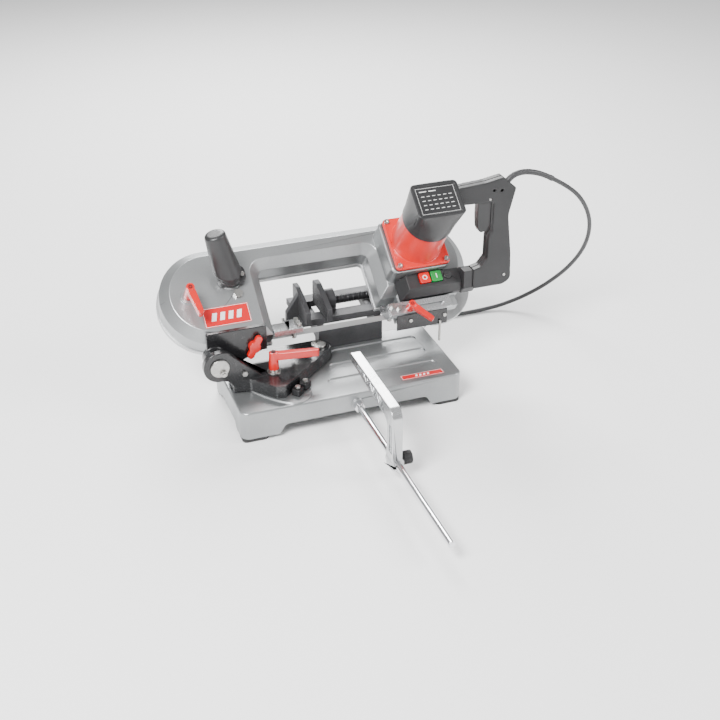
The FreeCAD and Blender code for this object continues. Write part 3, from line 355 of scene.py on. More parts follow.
def baked(piece: bpy.types.Object) -> bpy.types.Mesh:
    """The plain mesh of a piece with its modifiers, which is then removed."""
    graph = bpy.context.evaluated_depsgraph_get()
    graph.update()
    mesh = bpy.data.meshes.new_from_object(piece.evaluated_get(graph))
    bpy.data.objects.remove(piece)
    return mesh


def merged(node: str) -> bpy.types.Mesh:
    """A merged copy of a CAD node's mesh, with its flat faces made whole again.

    Args:
        node: The node's name.

    Returns:
        A new mesh; the CAD mesh is left alone.
    """
    shape = bmesh.new()
    shape.from_mesh(NODES[node].data)
    bmesh.ops.remove_doubles(shape, verts=shape.verts, dist=0.00002)
    skin, plain = sum(face.calc_area() for face in shape.faces), shape.copy()
    bmesh.ops.dissolve_limit(shape, angle_limit=math.radians(0.6), use_dissolve_boundaries=False,
                             verts=shape.verts, edges=shape.edges, delimit=set())
    bmesh.ops.triangulate(shape, faces=[face for face in shape.faces if len(face.verts) > 24],
                          ngon_method="EAR_CLIP")
    if abs(sum(face.calc_area() for face in shape.faces) / skin - 1) > 0.0005:
        shape.free()
        shape = plain
        bmesh.ops.join_triangles(shape, faces=shape.faces, angle_face_threshold=math.radians(0.5),
                                 angle_shape_threshold=math.radians(170))
        log.info("%s keeps its triangles", node)
    mesh = bpy.data.meshes.new(node + "_whole")
    shape.to_mesh(mesh)
    shape.free()
    for name in [a.name for a in mesh.attributes if a.name == "custom_normal"]:
        mesh.attributes.remove(mesh.attributes[name])
    return mesh


def islands(node: str, turn: Matrix) -> list[tuple[Vector, Vector]]:
    """The boxes of a node's separate solids in a turned frame.

    Args:
        node: The node's name.
        turn: The frame, as a matrix from it to the model's.

    Returns:
        Lowest and highest corner of each solid.
    """
    shape = bmesh.new()
    shape.from_mesh(NODES[node].data)
    bmesh.ops.remove_doubles(shape, verts=shape.verts, dist=0.00002)
    back, seen, boxes = turn.inverted(), set(), []
    for start in shape.verts:
        if start in seen:
            continue
        stack, members = [start], []
        seen.add(start)
        while stack:
            vertex = stack.pop()
            members.append(back @ vertex.co)
            for edge in vertex.link_edges:
                other = edge.other_vert(vertex)
                if other not in seen:
                    seen.add(other)
                    stack.append(other)
        boxes.append((Vector([min(p[i] for p in members) for i in range(3)]),
                      Vector([max(p[i] for p in members) for i in range(3)])))
    shape.free()
    return boxes


def dress(piece: bpy.types.Object, finish: Enum, body: str, slot: str, *nodes: str) -> bpy.types.Object:
    """Gives a finished piece its material and body, and hides the CAD nodes it stands for.

    Args:
        piece: The piece, in place.
        finish: A member of Metal or Coating.
        body: The CAD body it rides on.
        slot: The record's material slot. Not used.
        nodes: CAD nodes it replaces.

    Returns:
        The piece.
    """
    piece.data.materials.clear()
    piece.data.materials.append(finish.value.make())
    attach(piece, body)
    if nodes:
        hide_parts(*nodes)
    log.info("%-24s %6d faces on %s", piece.name, len(piece.data.polygons), body)
    return piece


def carried(node: str, finish: Enum, edge: float = 0.6, steps: int = 2,
            angle: float = 32.0) -> bpy.types.Object:
    """A CAD node remade with rounded edges.

    Args:
        node: The node's name.
        finish: Its finish.
        edge: Width of the rounding in millimetres.
        steps: Segments of the rounding.
        angle: Sharpest turn left alone, in degrees.

    Returns:
        The dressed piece.
    """
    mesh = merged(node)
    mesh.shade_smooth()
    mesh.set_sharp_from_angle(angle=math.radians(angle))
    piece = holder(node + "_raw", mesh)
    rounding = piece.modifiers.new("Rounding", "BEVEL")
    rounding.limit_method, rounding.angle_limit = "ANGLE", math.radians(angle)
    rounding.width, rounding.segments = edge * MM, steps
    rounding.use_clamp_overlap, rounding.harden_normals = False, False
    rounding.miter_outer = "MITER_SHARP"
    even = piece.modifiers.new("Even", "WEIGHTED_NORMAL")
    even.keep_sharp, even.weight = True, 90
    return dress(holder(node + "_part", baked(piece)), finish, BODY_OF[node], SLOT_OF[node], node)


def moulded(node: str, finish: Enum, voxel: float, rounds: int = 8) -> bpy.types.Object:
    """A CAD node remade as one soft-edged moulding.

    Args:
        node: The node's name.
        finish: Its finish.
        voxel: Size of the skin's cells in millimetres.
        rounds: Smoothing passes.

    Returns:
        The dressed piece.
    """
    piece = holder(node + "_raw", merged(node))
    skin = piece.modifiers.new("Skin", "REMESH")
    skin.mode, skin.voxel_size, skin.use_smooth_shade = "VOXEL", voxel * MM, True
    soft = piece.modifiers.new("Soften", "SMOOTH")
    soft.factor, soft.iterations = 0.5, rounds
    return dress(holder(node + "_part", baked(piece)), finish, BODY_OF[node], SLOT_OF[node], node)


def repaint(finish: Enum, *nodes: str) -> None:
    """Gives CAD nodes whose shape is kept their finish."""
    for node in nodes:
        for place in NODES[node].material_slots:
            place.material = finish.value.make()


class Tree:
    """A Geometry Nodes tree, built up node by node."""

    def __init__(self, name: str) -> None:
        """Starts a tree with one geometry output."""
        self.tree = bpy.data.node_groups.new(name, "GeometryNodeTree")
        self.tree.interface.new_socket("Geometry", in_out="OUTPUT", socket_type="NodeSocketGeometry")
        self.entry = self.tree.nodes.new("NodeGroupInput")
        self.close = self.tree.nodes.new("NodeGroupOutput")
        self.keys: dict[str, str] = {}

    def size(self, label: str, kind: str = "NodeSocketFloat") -> bpy.types.NodeSocket:
        """Adds a named input.

        Args:
            label: The input's name.
            kind: Its socket type.

        Returns:
            The socket inside the tree.
        """
        item = self.tree.interface.new_socket(label, in_out="INPUT", socket_type=kind)
        self.keys[label] = item.identifier
        return next(s for s in self.entry.outputs if s.identifier == item.identifier)

    def node(self, kind: str, settings: dict | None = None,
             inputs: dict | None = None) -> bpy.types.Node:
        """Adds a node.

        Args:
            kind: The node's type.
            settings: Its properties.
            inputs: Socket name or index to a value or an output socket.

        Returns:
            The new node.
        """
        made = self.tree.nodes.new(kind)
        for key, setting in (settings or {}).items():
            setattr(made, key, setting)
        for key, given in (inputs or {}).items():
            if isinstance(given, bpy.types.NodeSocket):
                self.tree.links.new(given, made.inputs[key])
            else:
                made.inputs[key].default_value = given
        return made

    def run(self, geometry: bpy.types.NodeSocket, values: dict, finish: Enum,
            points: list[Vector] | None = None) -> bpy.types.Mesh:
        """Ends the tree and turns its result into a plain mesh.

        Args:
            geometry: What the tree makes.
            values: Named inputs and their sizes.
            finish: The finish it is set to.
            points: Vertices handed in as the tree's Places.

        Returns:
            The mesh.
        """
        paint = self.size("Material", "NodeSocketMaterial")
        whole = self.node("GeometryNodeRealizeInstances", None, {0: geometry})
        done = self.node("GeometryNodeSetMaterial", None,
                         {"Geometry": whole.outputs[0], "Material": paint})
        self.tree.links.new(done.outputs[0], self.close.inputs[0])
        start = bpy.data.meshes.new("places")
        start.from_pydata([tuple(p) for p in points or [Vector((0, 0, 0))]], [], [])
        piece = holder("growing", start)
        grow = piece.modifiers.new("Grow", "NODES")
        grow.node_group = self.tree
        for label, given in {**values, "Material": finish.value.make()}.items():
            grow[self.keys[label]] = given
        mesh = baked(piece)
        mesh.set_sharp_from_angle(angle=math.radians(35))
        return mesh


def socket_screws(spots: list[Vector], radius: float, height: float, recess: float,
                  finish: Enum) -> bpy.types.Mesh:
    """Round screw heads with a hexagonal recess, standing along +Z on their spots.

    Args:
        spots: Where each head's underside is, in metres.
        radius: Head radius in millimetres.
        height: Head height in millimetres.
        recess: Recess radius in millimetres.
        finish: Their finish.

    Returns:
        One mesh with all of them.
    """
    tree = Tree("socket_screws")
    places = tree.size("Places", "NodeSocketGeometry")
    wide, tall, inner = tree.size("Head radius"), tree.size("Head height"), tree.size("Recess")
    half = tree.node("ShaderNodeMath", {"operation": "MULTIPLY"}, {0: tall, 1: 0.5}).outputs[0]
    crown = tree.node("ShaderNodeMath", {"operation": "MULTIPLY"}, {0: wide, 1: 0.84}).outputs[0]
    lift = tree.node("ShaderNodeCombineXYZ", None, {"Z": half}).outputs[0]
    top = tree.node("ShaderNodeCombineXYZ", None, {"Z": tall}).outputs[0]
    body = tree.node("GeometryNodeMeshCylinder", None,
                     {"Vertices": 28, "Radius": wide, "Depth": tall}).outputs["Mesh"]
    step = tree.node("ShaderNodeMath", {"operation": "MULTIPLY"}, {0: tall, 1: 1.16}).outputs[0]
    rim = tree.node("GeometryNodeMeshCylinder", None,
                    {"Vertices": 28, "Radius": crown, "Depth": step}).outputs["Mesh"]
    hexagon = tree.node("GeometryNodeMeshCylinder", None,
                        {"Vertices": 6, "Radius": inner, "Depth": tall}).outputs["Mesh"]
    raised = tree.node("GeometryNodeTransform", None,
                       {"Geometry": hexagon, "Translation": lift}).outputs[0]
    heads = tree.node("GeometryNodeMeshBoolean", {"operation": "UNION"})
    tree.tree.links.new(body, heads.inputs[1])
    tree.tree.links.new(rim, heads.inputs[1])
    cut = tree.node("GeometryNodeMeshBoolean", {"operation": "DIFFERENCE"},
                    {0: heads.outputs[0], 1: raised})
    head = tree.node("GeometryNodeTransform", None,
                     {"Geometry": cut.outputs[0], "Translation": lift}).outputs[0]
    set_out = tree.node("GeometryNodeInstanceOnPoints", None, {"Points": places, "Instance": head})
    del top
    return tree.run(set_out.outputs[0], {"Head radius": radius * MM, "Head height": height * MM,
                                         "Recess": recess * MM}, finish, spots)


def bars(columns: int, rows: int, pitch: tuple[float, float], bar: tuple[float, float, float],
         finish: Enum) -> bpy.types.Mesh:
    """A grid of small flat bars about the origin.

    Args:
        columns: Bars along X.
        rows: Bars along Y.
        pitch: Spacing along X and Y in millimetres.
        bar: Size of one bar in millimetres.
        finish: Its finish.

    Returns:
        One mesh with all the bars.
    """
    tree = Tree("bars")
    wide, deep = tree.size("Width"), tree.size("Depth")
    across, down = tree.size("Columns", "NodeSocketInt"), tree.size("Rows", "NodeSocketInt")
    shape = tree.size("Bar", "NodeSocketVector")
    grid = tree.node("GeometryNodeMeshGrid", None, {"Size X": wide, "Size Y": deep,
                                                    "Vertices X": across, "Vertices Y": down})
    block = tree.node("GeometryNodeMeshCube", None, {"Size": shape})
    made = tree.node("GeometryNodeInstanceOnPoints", None,
                     {"Points": grid.outputs["Mesh"], "Instance": block.outputs["Mesh"]})
    return tree.run(made.outputs[0], {
        "Width": max(columns - 1, 1) * pitch[0] * MM, "Depth": max(rows - 1, 1) * pitch[1] * MM,
        "Columns": columns, "Rows": rows, "Bar": [side * MM for side in bar]}, finish)


def ribs(count: int, ring: float, rib: float, length: float, finish: Enum) -> bpy.types.Mesh:
    """Small round ribs on a ring about Z, standing from z 0 to their length.

    Args:
        count: How many.
        ring: Ring radius in millimetres.
        rib: Rib radius in millimetres.
        length: Rib length in millimetres.
        finish: Their finish.

    Returns:
        One mesh with all the ribs.
    """
    tree = Tree("grip_ribs")
    many, wide = tree.size("Count", "NodeSocketInt"), tree.size("Ring radius")
    thick, tall = tree.size("Rib radius"), tree.size("Rib length")
    circle = tree.node("GeometryNodeMeshCircle", None, {"Vertices": many, "Radius": wide})
    rod = tree.node("GeometryNodeMeshCylinder", None,
                    {"Vertices": 10, "Radius": thick, "Depth": tall})
    made = tree.node("GeometryNodeInstanceOnPoints", None,
                     {"Points": circle.outputs["Mesh"], "Instance": rod.outputs["Mesh"]})
    mesh = tree.run(made.outputs[0], {"Count": count, "Ring radius": ring * MM,
                                      "Rib radius": rib * MM, "Rib length": length * MM}, finish)
    mesh.transform(Matrix.Translation((0, 0, length * MM / 2)))
    return mesh


def thread(radius: float, pitch: float, length: float, finish: Enum) -> bpy.types.Mesh:
    """A raised helical thread about Z from z 0 to its length.

    Args:
        radius: Radius of the thread's middle in millimetres.
        pitch: Rise of one turn in millimetres.
        length: Threaded length in millimetres.
        finish: Its finish.

    Returns:
        The thread's mesh.
    """
    tree = Tree("thread")
    turns, wide, tall = tree.size("Turns"), tree.size("Radius"), tree.size("Length")
    ridge = tree.size("Ridge")
    helix = tree.node("GeometryNodeCurveSpiral", None, {
        "Resolution": 20, "Rotations": turns, "Start Radius": wide, "End Radius": wide,
        "Height": tall})
    profile = tree.node("GeometryNodeCurvePrimitiveCircle", None,
                        {"Resolution": 5, "Radius": ridge})
    swept = tree.node("GeometryNodeCurveToMesh", None, {
        "Curve": helix.outputs[0], "Profile Curve": profile.outputs[0], "Fill Caps": True})
    return tree.run(swept.outputs[0], {"Turns": length / pitch, "Radius": radius * MM,
                                       "Length": length * MM, "Ridge": pitch * 0.3 * MM}, finish)


def put(mesh: bpy.types.Mesh, name: str, turn: Matrix, finish: Enum, body: str, slot: str,
        *nodes: str) -> bpy.types.Object:
    """Sets a mesh in its place and dresses it.

    Args:
        mesh: The mesh in its own frame.
        name: The piece's name.
        turn: From its frame to the model's.
        finish: Its finish.
        body: Its body.
        slot: Its slot.
        nodes: CAD nodes it replaces.

    Returns:
        The piece.
    """
    mesh.transform(turn)
    return dress(holder(name, mesh), finish, body, slot, *nodes)


def border(half_x: float, half_y: float, line: float, inset: float, thick: float) -> bpy.types.Mesh:
    """A flat rectangular frame line about the origin.

    Args:
        half_x: Half the plate's width in millimetres.
        half_y: Half the plate's depth in millimetres.
        line: Line width in millimetres.
        inset: Distance of the line from the plate's edge.
        thick: Line thickness.

    Returns:
        The frame's mesh.
    """
    shape = bmesh.new()
    loops = []
    for away in (inset, inset + line):
        x, y = (half_x - away) * MM, (half_y - away) * MM
        loops.append([[shape.verts.new((sx * x, sy * y, z * thick * MM))
                       for sx, sy in ((-1, -1), (1, -1), (1, 1), (-1, 1))] for z in (0, 1)])
    for i in range(4):
        j = (i + 1) % 4
        (ob, ot), (ib, it) = loops
        for quad in ((ot[i], ot[j], it[j], it[i]), (ob[i], ob[j], ot[j], ot[i]),
                     (it[i], it[j], ib[j], ib[i]), (ib[i], ib[j], ob[j], ob[i])):
            shape.faces.new(quad)
    bmesh.ops.recalc_face_normals(shape, faces=shape.faces)
    mesh = bpy.data.meshes.new("border")
    shape.to_mesh(mesh)
    shape.free()
    return mesh


# ---------------------------------------------------------------- sub-assemblies

@dataclass
class Base:
    """Cast base with its feet, stops, rod and label."""

    label_middle: tuple = (153.5, -88.5, 68.6)
    label_half: tuple = (45.5, 8.5)

    def build(self) -> None:
        """Builds the standing parts."""
        carried("base_casting", Metal.CAST, 1.0, 2)
        carried("rubber_feet", Coating.RUBBER, 1.6, 3)
        carried("swivel_pivot_bolt", Metal.ZINC, 0.8)
        carried("angle_stop_blocks", Metal.BLACKENED, 0.9)
        carried("base_bolts", Metal.ZINC, 0.5)
        carried("stop_rod", Metal.CHROME, 1.0)
        self.label()

    def label(self) -> None:
        """A plain red plate with a pale line and three slanted bars."""
        carried("base_label", Coating.LABEL, 0.15, 1)
        turn = Matrix.Translation(Vector(self.label_middle) * MM)
        put(border(*self.label_half, 0.7, 0.8, 0.15), "base_label_line", turn, Coating.PRINT,
            "base", "red_label")
        slant = Matrix(((1, 0.3, 0, 0), (0, 1, 0, 0), (0, 0, 1, 0.00008), (0, 0, 0, 1)))
        put(bars(4, 1, (8.5, 1), (4.6, 6.4, 0.16), Coating.PRINT), "base_label_bars", turn @ slant,
            Coating.PRINT, "base", "red_label")


@dataclass
class Vise:
    """Rails, jaws and the screw with its handwheel."""

    screw_y: float = 150.0
    screw_z: float = 142.0
    thread_from: float = 46.0
    thread_length: float = 197.0

    def build(self) -> None:
        """Builds the vise."""
        carried("vise_bed", Metal.IRON, 1.0)
        carried("fixed_jaw", Metal.IRON, 0.8)
        carried("moving_jaw", Metal.IRON, 0.7)
        carried("vise_screw", Metal.BLACKENED, 0.7)
        turn = Matrix.Translation(Vector((self.thread_from, self.screw_y, self.screw_z)) * MM)
        put(thread(8.8, 3.9, self.thread_length, Metal.BLACKENED), "vise_screw_thread",
            turn @ Matrix.Rotation(math.radians(90), 4, "Y"), Metal.BLACKENED, "vise_screw",
            SLOT_OF["vise_screw"])


@dataclass
class SwivelArm:
    """Black arm with the hinge, the clamp stud and its lever."""

    hub: tuple = (-140.0, -20.0, 142.2)

    def build(self) -> None:
        """Builds the arm."""
        carried("swivel_arm_casting", Coating.BLACK, 1.0, 2)
        carried("hinge_axle", Metal.ZINC, 0.6)
        carried("hinge_cap", Metal.ZINC, 0.8)
        carried("arm_screws", Metal.ZINC, 0.5)
        carried("lock_stud", Metal.ZINC, 0.5)
        moulded("swivel_lock_lever", Coating.GLOSS, 0.75, 10)
        spot = Matrix.Translation(Vector(self.hub) * MM - Vector((0, 0, 0.002)))
        put(socket_screws([Vector((0, 0, 0))], 4.6, 3.4, 2.4, Metal.BLACKENED), "swivel_lever_screw",
            spot, Metal.BLACKENED, "swivel_lock_lever", "zinc_steel")


@dataclass
class Bow:
    """Bow casting, cover, wheels, tension gear and label."""

    label_middle: tuple = (19.0, -56.0, 0.6)
    label_half: tuple = (47.0, 21.0)

    def build(self) -> None:
        """Builds the bow."""
        carried("bow_frame", Metal.CAST, 0.9, 2)
        carried("bow_back_cover", Metal.COVER, 0.8, 2)
        carried("bow_bracket", Coating.BLACK, 1.2)
        carried("bow_fixings", Metal.ZINC, 0.4)
        carried("idler_wheel", Metal.IRON, 0.8)
        carried("drive_wheel", Metal.IRON, 0.8)
        carried("tension_carriage", Metal.ZINC, 0.5)
        repaint(Metal.ZINC, "shaft_bearing", "drive_shaft", "drive_gear", "motor_rotor")
        self.screws()
        self.tension()
        self.label()

    def screws(self) -> None:
        """Cover screws, set from the middles of their CAD heads."""
        flip = Matrix.Rotation(math.pi, 4, "X")
        spots = [flip @ Vector(((low.x + high.x) / 2, (low.y + high.y) / 2, high.z))
                 for low, high in islands("cover_screws", BOW)]
        put(socket_screws(spots, 4.0, 2.15, 1.9, Metal.ZINC), "cover_screw_heads", BOW @ flip,
            Metal.ZINC, "bow", SLOT_OF["cover_screws"], "cover_screws")

    def tension(self) -> None:
        """Blade tension lever with its screw."""
        moulded("tension_lever", Coating.GLOSS, 0.7, 8)
        spot = Vector((-47, -4, 45.6)) * MM
        put(socket_screws([spot], 4.0, 3.0, 2.1, Metal.BLACKENED), "tension_lever_screw", BOW,
            Metal.BLACKENED, "tension_lever", "zinc_steel")

    def label(self) -> None:
        """Red plate with a pale line and slanted bars."""
        carried("bow_label", Coating.LABEL, 0.15, 1)
        turn = BOW @ Matrix.Translation(Vector(self.label_middle) * MM)
        put(border(*self.label_half, 0.8, 0.9, 0.15), "bow_label_line", turn, Coating.PRINT, "bow",
            "red_label")
        slant = Matrix(((1, 0.28, 0, 0), (0, 1, 0, 0), (0, 0, 1, 0.00008), (0, 0, 0, 1)))
        put(bars(4, 1, (17, 1), (9.5, 17, 0.16), Coating.PRINT), "bow_label_bars", turn @ slant,
            Coating.PRINT, "bow", "red_label")


@dataclass
class Blade:
    """The toothed band: round both wheels, twisted upright through the guides."""

    radius: float = 86.45
    drop: float = 3.0
    span: float = 450.0
    teeth_n: float = -52.0
    back_n: float = -39.0
    line_y: float = 47.0
    teeth_z: float = 130.5
    back_z: float = 143.5
    pitch: float = 3.4
    half: float = 0.35

    def flat(self, u: float, v: float) -> tuple[Vector, Vector]:
        """Teeth and back edge where the band lies square to the bow."""
        return (BOW @ (Vector((u, v, self.teeth_n)) * MM), BOW @ (Vector((u, v, self.back_n)) * MM))

    def upright(self, x: float) -> tuple[Vector, Vector]:
        """Teeth and back edge where the band stands upright."""
        return (Vector((x, self.line_y, self.teeth_z)) * MM, Vector((x, self.line_y, self.back_z)) * MM)

    def corners(self) -> list[tuple[Vector, Vector]]:
        """Sections of the closed band, before they are spaced evenly."""
        low = -self.drop - self.radius
        path = [self.flat(self.radius * math.sin(a), -self.drop - self.radius * math.cos(a))
                for a in (-math.pi * i / 48 for i in range(49))]
        path += [self.flat(self.span + self.radius * math.sin(a), -self.drop + self.radius * math.cos(a))
                 for a in (math.pi * i / 48 for i in range(49))]
        path += [self.flat(self.span - 12, low), self.upright(158), self.upright(-118),
                 self.flat(12, low)]
        return path

    def build(self) -> None:
        """Builds the band as one closed strip whose lower edge is a row of teeth."""
        path = self.corners()
        spots: list[tuple[Vector, Vector]] = []
        for index, (teeth, back) in enumerate(path):
            next_teeth, next_back = path[(index + 1) % len(path)]
            reach = ((next_teeth + next_back) / 2 - (teeth + back) / 2).length
            steps = max(2, 2 * round(reach / (self.pitch * MM)))
            for step in range(steps):
                t = step / steps
                spots.append((teeth.lerp(next_teeth, t), back.lerp(next_back, t)))
        shape, rows = bmesh.new(), []
        count = len(spots)
        for index, (teeth, back) in enumerate(spots):
            ahead = sum(spots[(index + 1) % count], Vector()) - sum(spots[index - 1], Vector())
            across = (back - teeth).normalized()
            side = ahead.normalized().cross(across).normalized() * self.half * MM
            tip = teeth + across * (0.0014 if index % 2 else 0.0)
            rows.append([shape.verts.new(p) for p in (tip - side, back - side, back + side, tip + side)])
        for index, row in enumerate(rows):
            after = rows[(index + 1) % count]
            for i in range(4):
                j = (i + 1) % 4
                shape.faces.new((row[i], row[j], after[j], after[i]))
        bmesh.ops.recalc_face_normals(shape, faces=shape.faces)
        mesh = bpy.data.meshes.new("band")
        shape.to_mesh(mesh)
        shape.free()
        put(mesh, "toothed_band", Matrix(), Metal.BLADE, "bow", "blade_steel", "saw_blade")


@dataclass
class Guides:
    """Fixed and sliding blade guides, guard and lever."""

    lever_hub: tuple = (393.0, -110.0, 30.4)

    def build(self) -> None:
        """Builds the guides."""
        carried("left_guide", Metal.SATIN, 0.8)
        carried("left_guide_rollers", Metal.ZINC, 0.6)
        carried("right_guide", Metal.SATIN, 0.7)
        carried("right_guide_rollers", Metal.ZINC, 0.6)
        carried("blade_guard", Coating.BLACK, 0.6)
        carried("guide_fixings", Metal.ZINC, 0.4)
        moulded("guide_lever", Coating.GLOSS, 0.65, 8)
        spot = Vector(self.lever_hub) * MM - Vector((0, 0, 0.003))
        put(socket_screws([spot], 3.8, 3.0, 2.0, Metal.BLACKENED), "guide_lever_screw", BOW,
            Metal.BLACKENED, "guide_lever", "zinc_steel")
        moulded("wing_knob", Coating.GLOSS, 0.6, 6)


@dataclass
class Motor:
    """Gasket, red housing, cap and its plain plate."""

    middle: tuple = (430.5, 13.6)
    spread: float = 51.25
    plate_n: float = 227.0
    plate_half: tuple = (41.0, 29.6)

    def build(self) -> None:
        """Builds the motor's outside."""
        carried("motor_gasket", Coating.RUBBER, 0.5)
        carried("motor_housing", Coating.RED, 1.6, 3)
        carried("motor_cap", Coating.CAP, 1.6, 3)
        u, v = self.middle
        spots = [Vector((u + a * self.spread, v + b * self.spread, 60)) * MM
                 for a in (-1, 1) for b in (-1, 1)]
        put(socket_screws(spots, 5.5, 4.3, 2.6, Metal.ZINC), "motor_screw_heads", BOW, Metal.ZINC,
            "bow", SLOT_OF["motor_screws"], "motor_screws")
        self.plate()

    def plate(self) -> None:
        """Data plate with no words: a line round it and rows of short bars."""
        turn = BOW @ Matrix.Translation(Vector((*self.middle, self.plate_n)) * MM)
        put(border(self.plate_half[0], self.plate_half[1], 0.5, 1.2, 0.15), "cap_plate_line", turn,
            Coating.PRINT, "bow", "black_plastic")
        low = turn @ Matrix.Translation((0, -0.004, 0.00008))
        put(bars(6, 4, (11.5, 9.5), (6.4, 1.1, 0.16), Coating.PRINT), "cap_plate_bars", low,
            Coating.PRINT, "bow", "black_plastic")
        high = turn @ Matrix.Translation((-0.016, 0.021, 0.00008))
        put(bars(2, 1, (20, 1), (15, 1.8, 0.16), Coating.PRINT), "cap_plate_heading", high,
            Coating.PRINT, "bow", "black_plastic")


@dataclass
class Switches:
    """Switch box, stop and start buttons and the speed dial."""

    stop_at: tuple = (434.0, -60.0, 35.0)
    start_at: tuple = (460.0, -60.0, 35.0)
    dial_at: tuple = (486.0, -60.0, 31.0)

    def build(self) -> None:
        """Builds the controls."""
        carried("switch_box", Coating.PLASTIC, 1.1, 3)
        carried("stop_button", Coating.GLOSS, 1.2, 3)
        carried("start_button", Coating.GREEN, 1.2, 3)
        carried("speed_dial", Coating.CAP, 0.5)
        self.ring()
        turn = BOW @ Matrix.Translation(Vector(self.start_at) * MM)
        put(bars(1, 1, (1, 1), (1.7, 10, 0.5), Coating.PRINT), "start_mark", turn, Coating.PRINT,
            "start_button", "green_plastic")
        turn = BOW @ Matrix.Translation(Vector((*self.dial_at[:2], 25)) * MM)
        put(ribs(18, 8.5, 0.5, 6, Coating.PLASTIC), "dial_ribs", turn, Coating.PLASTIC,
            "speed_dial", "black_plastic")

    def ring(self) -> None:
        """The round mark on the stop button."""
        shape, rows = bmesh.new(), []
        for index in range(32):
            a = math.tau * index / 32
            rows.append([shape.verts.new(Vector((r * math.cos(a), r * math.sin(a), z)) * MM)
                         for r, z in ((3.6, 0), (5.2, 0), (5.2, 0.25), (3.6, 0.25))])
        for index, row in enumerate(rows):
            after = rows[(index + 1) % 32]
            for i in range(4):
                shape.faces.new((row[i], row[(i + 1) % 4], after[(i + 1) % 4], after[i]))
        bmesh.ops.recalc_face_normals(shape, faces=shape.faces)
        mesh = bpy.data.meshes.new("ring")
        shape.to_mesh(mesh)
        shape.free()
        put(mesh, "stop_mark", BOW @ Matrix.Translation(Vector(self.stop_at) * MM), Coating.PRINT,
            "stop_button", "red_gloss")


@dataclass
class Handles:
    """D handle, trigger, bracket and front grip."""

    grip_foot: tuple = (39.0, 22.0, 17.0)
    grip_top: tuple = (13.0, 74.0, 104.0)
    fullness: float = 0.5

    def build(self) -> None:
        """Builds the grips."""
        moulded("handle_front_shell", Coating.PLASTIC, 1.25, 5)
        moulded("handle_back_shell", Coating.PLASTIC, 1.25, 5)
        moulded("trigger", Coating.CAP, 0.8, 6)
        carried("handle_bracket", Coating.PLASTIC, 1.2)
        self.grip()

    def grip(self) -> None:
        """Front grip: a full, slightly flattened body over its foot."""
        piece = moulded("front_grip", Coating.CAP, 1.0, 8)
        foot, top = Vector(self.grip_foot) * MM, Vector(self.grip_top) * MM
        along = (top - foot).normalized()
        back = BOW.inverted()
        for vertex in piece.data.vertices:
            spot = back @ vertex.co
            rise = (spot - foot).dot(along)
            near = foot + along * rise
            swell = max(0.0, min(1.0, (spot.z - 0.018) / 0.012))
            full = 1 + self.fullness * swell * (1 - 0.35 * max(0.0, rise) / (top - foot).length)
            out = spot - near
            vertex.co = BOW @ (near + Vector((out.x * full, out.y * (1 + (full - 1) * 0.6),
                                              out.z * (1 + (full - 1) * 0.6))))


@dataclass
class LengthStop:
    """Stop arm on its rod, and the knob."""

    knob: tuple = (21.5, -315.0, 42.5)

    def build(self) -> None:
        """Builds the stop."""
        carried("stop_arm", Metal.SATIN, 0.9, 2)
        carried("stop_knob", Coating.PLASTIC, 0.9)
        turn = Matrix.Translation(Vector(self.knob) * MM) @ Matrix.Rotation(math.radians(90), 4, "Y")
        put(ribs(20, 11.9, 1.2, 15.0, Coating.PLASTIC), "knob_ribs", turn, Coating.PLASTIC,
            "stop_knob", SLOT_OF["stop_knob"])


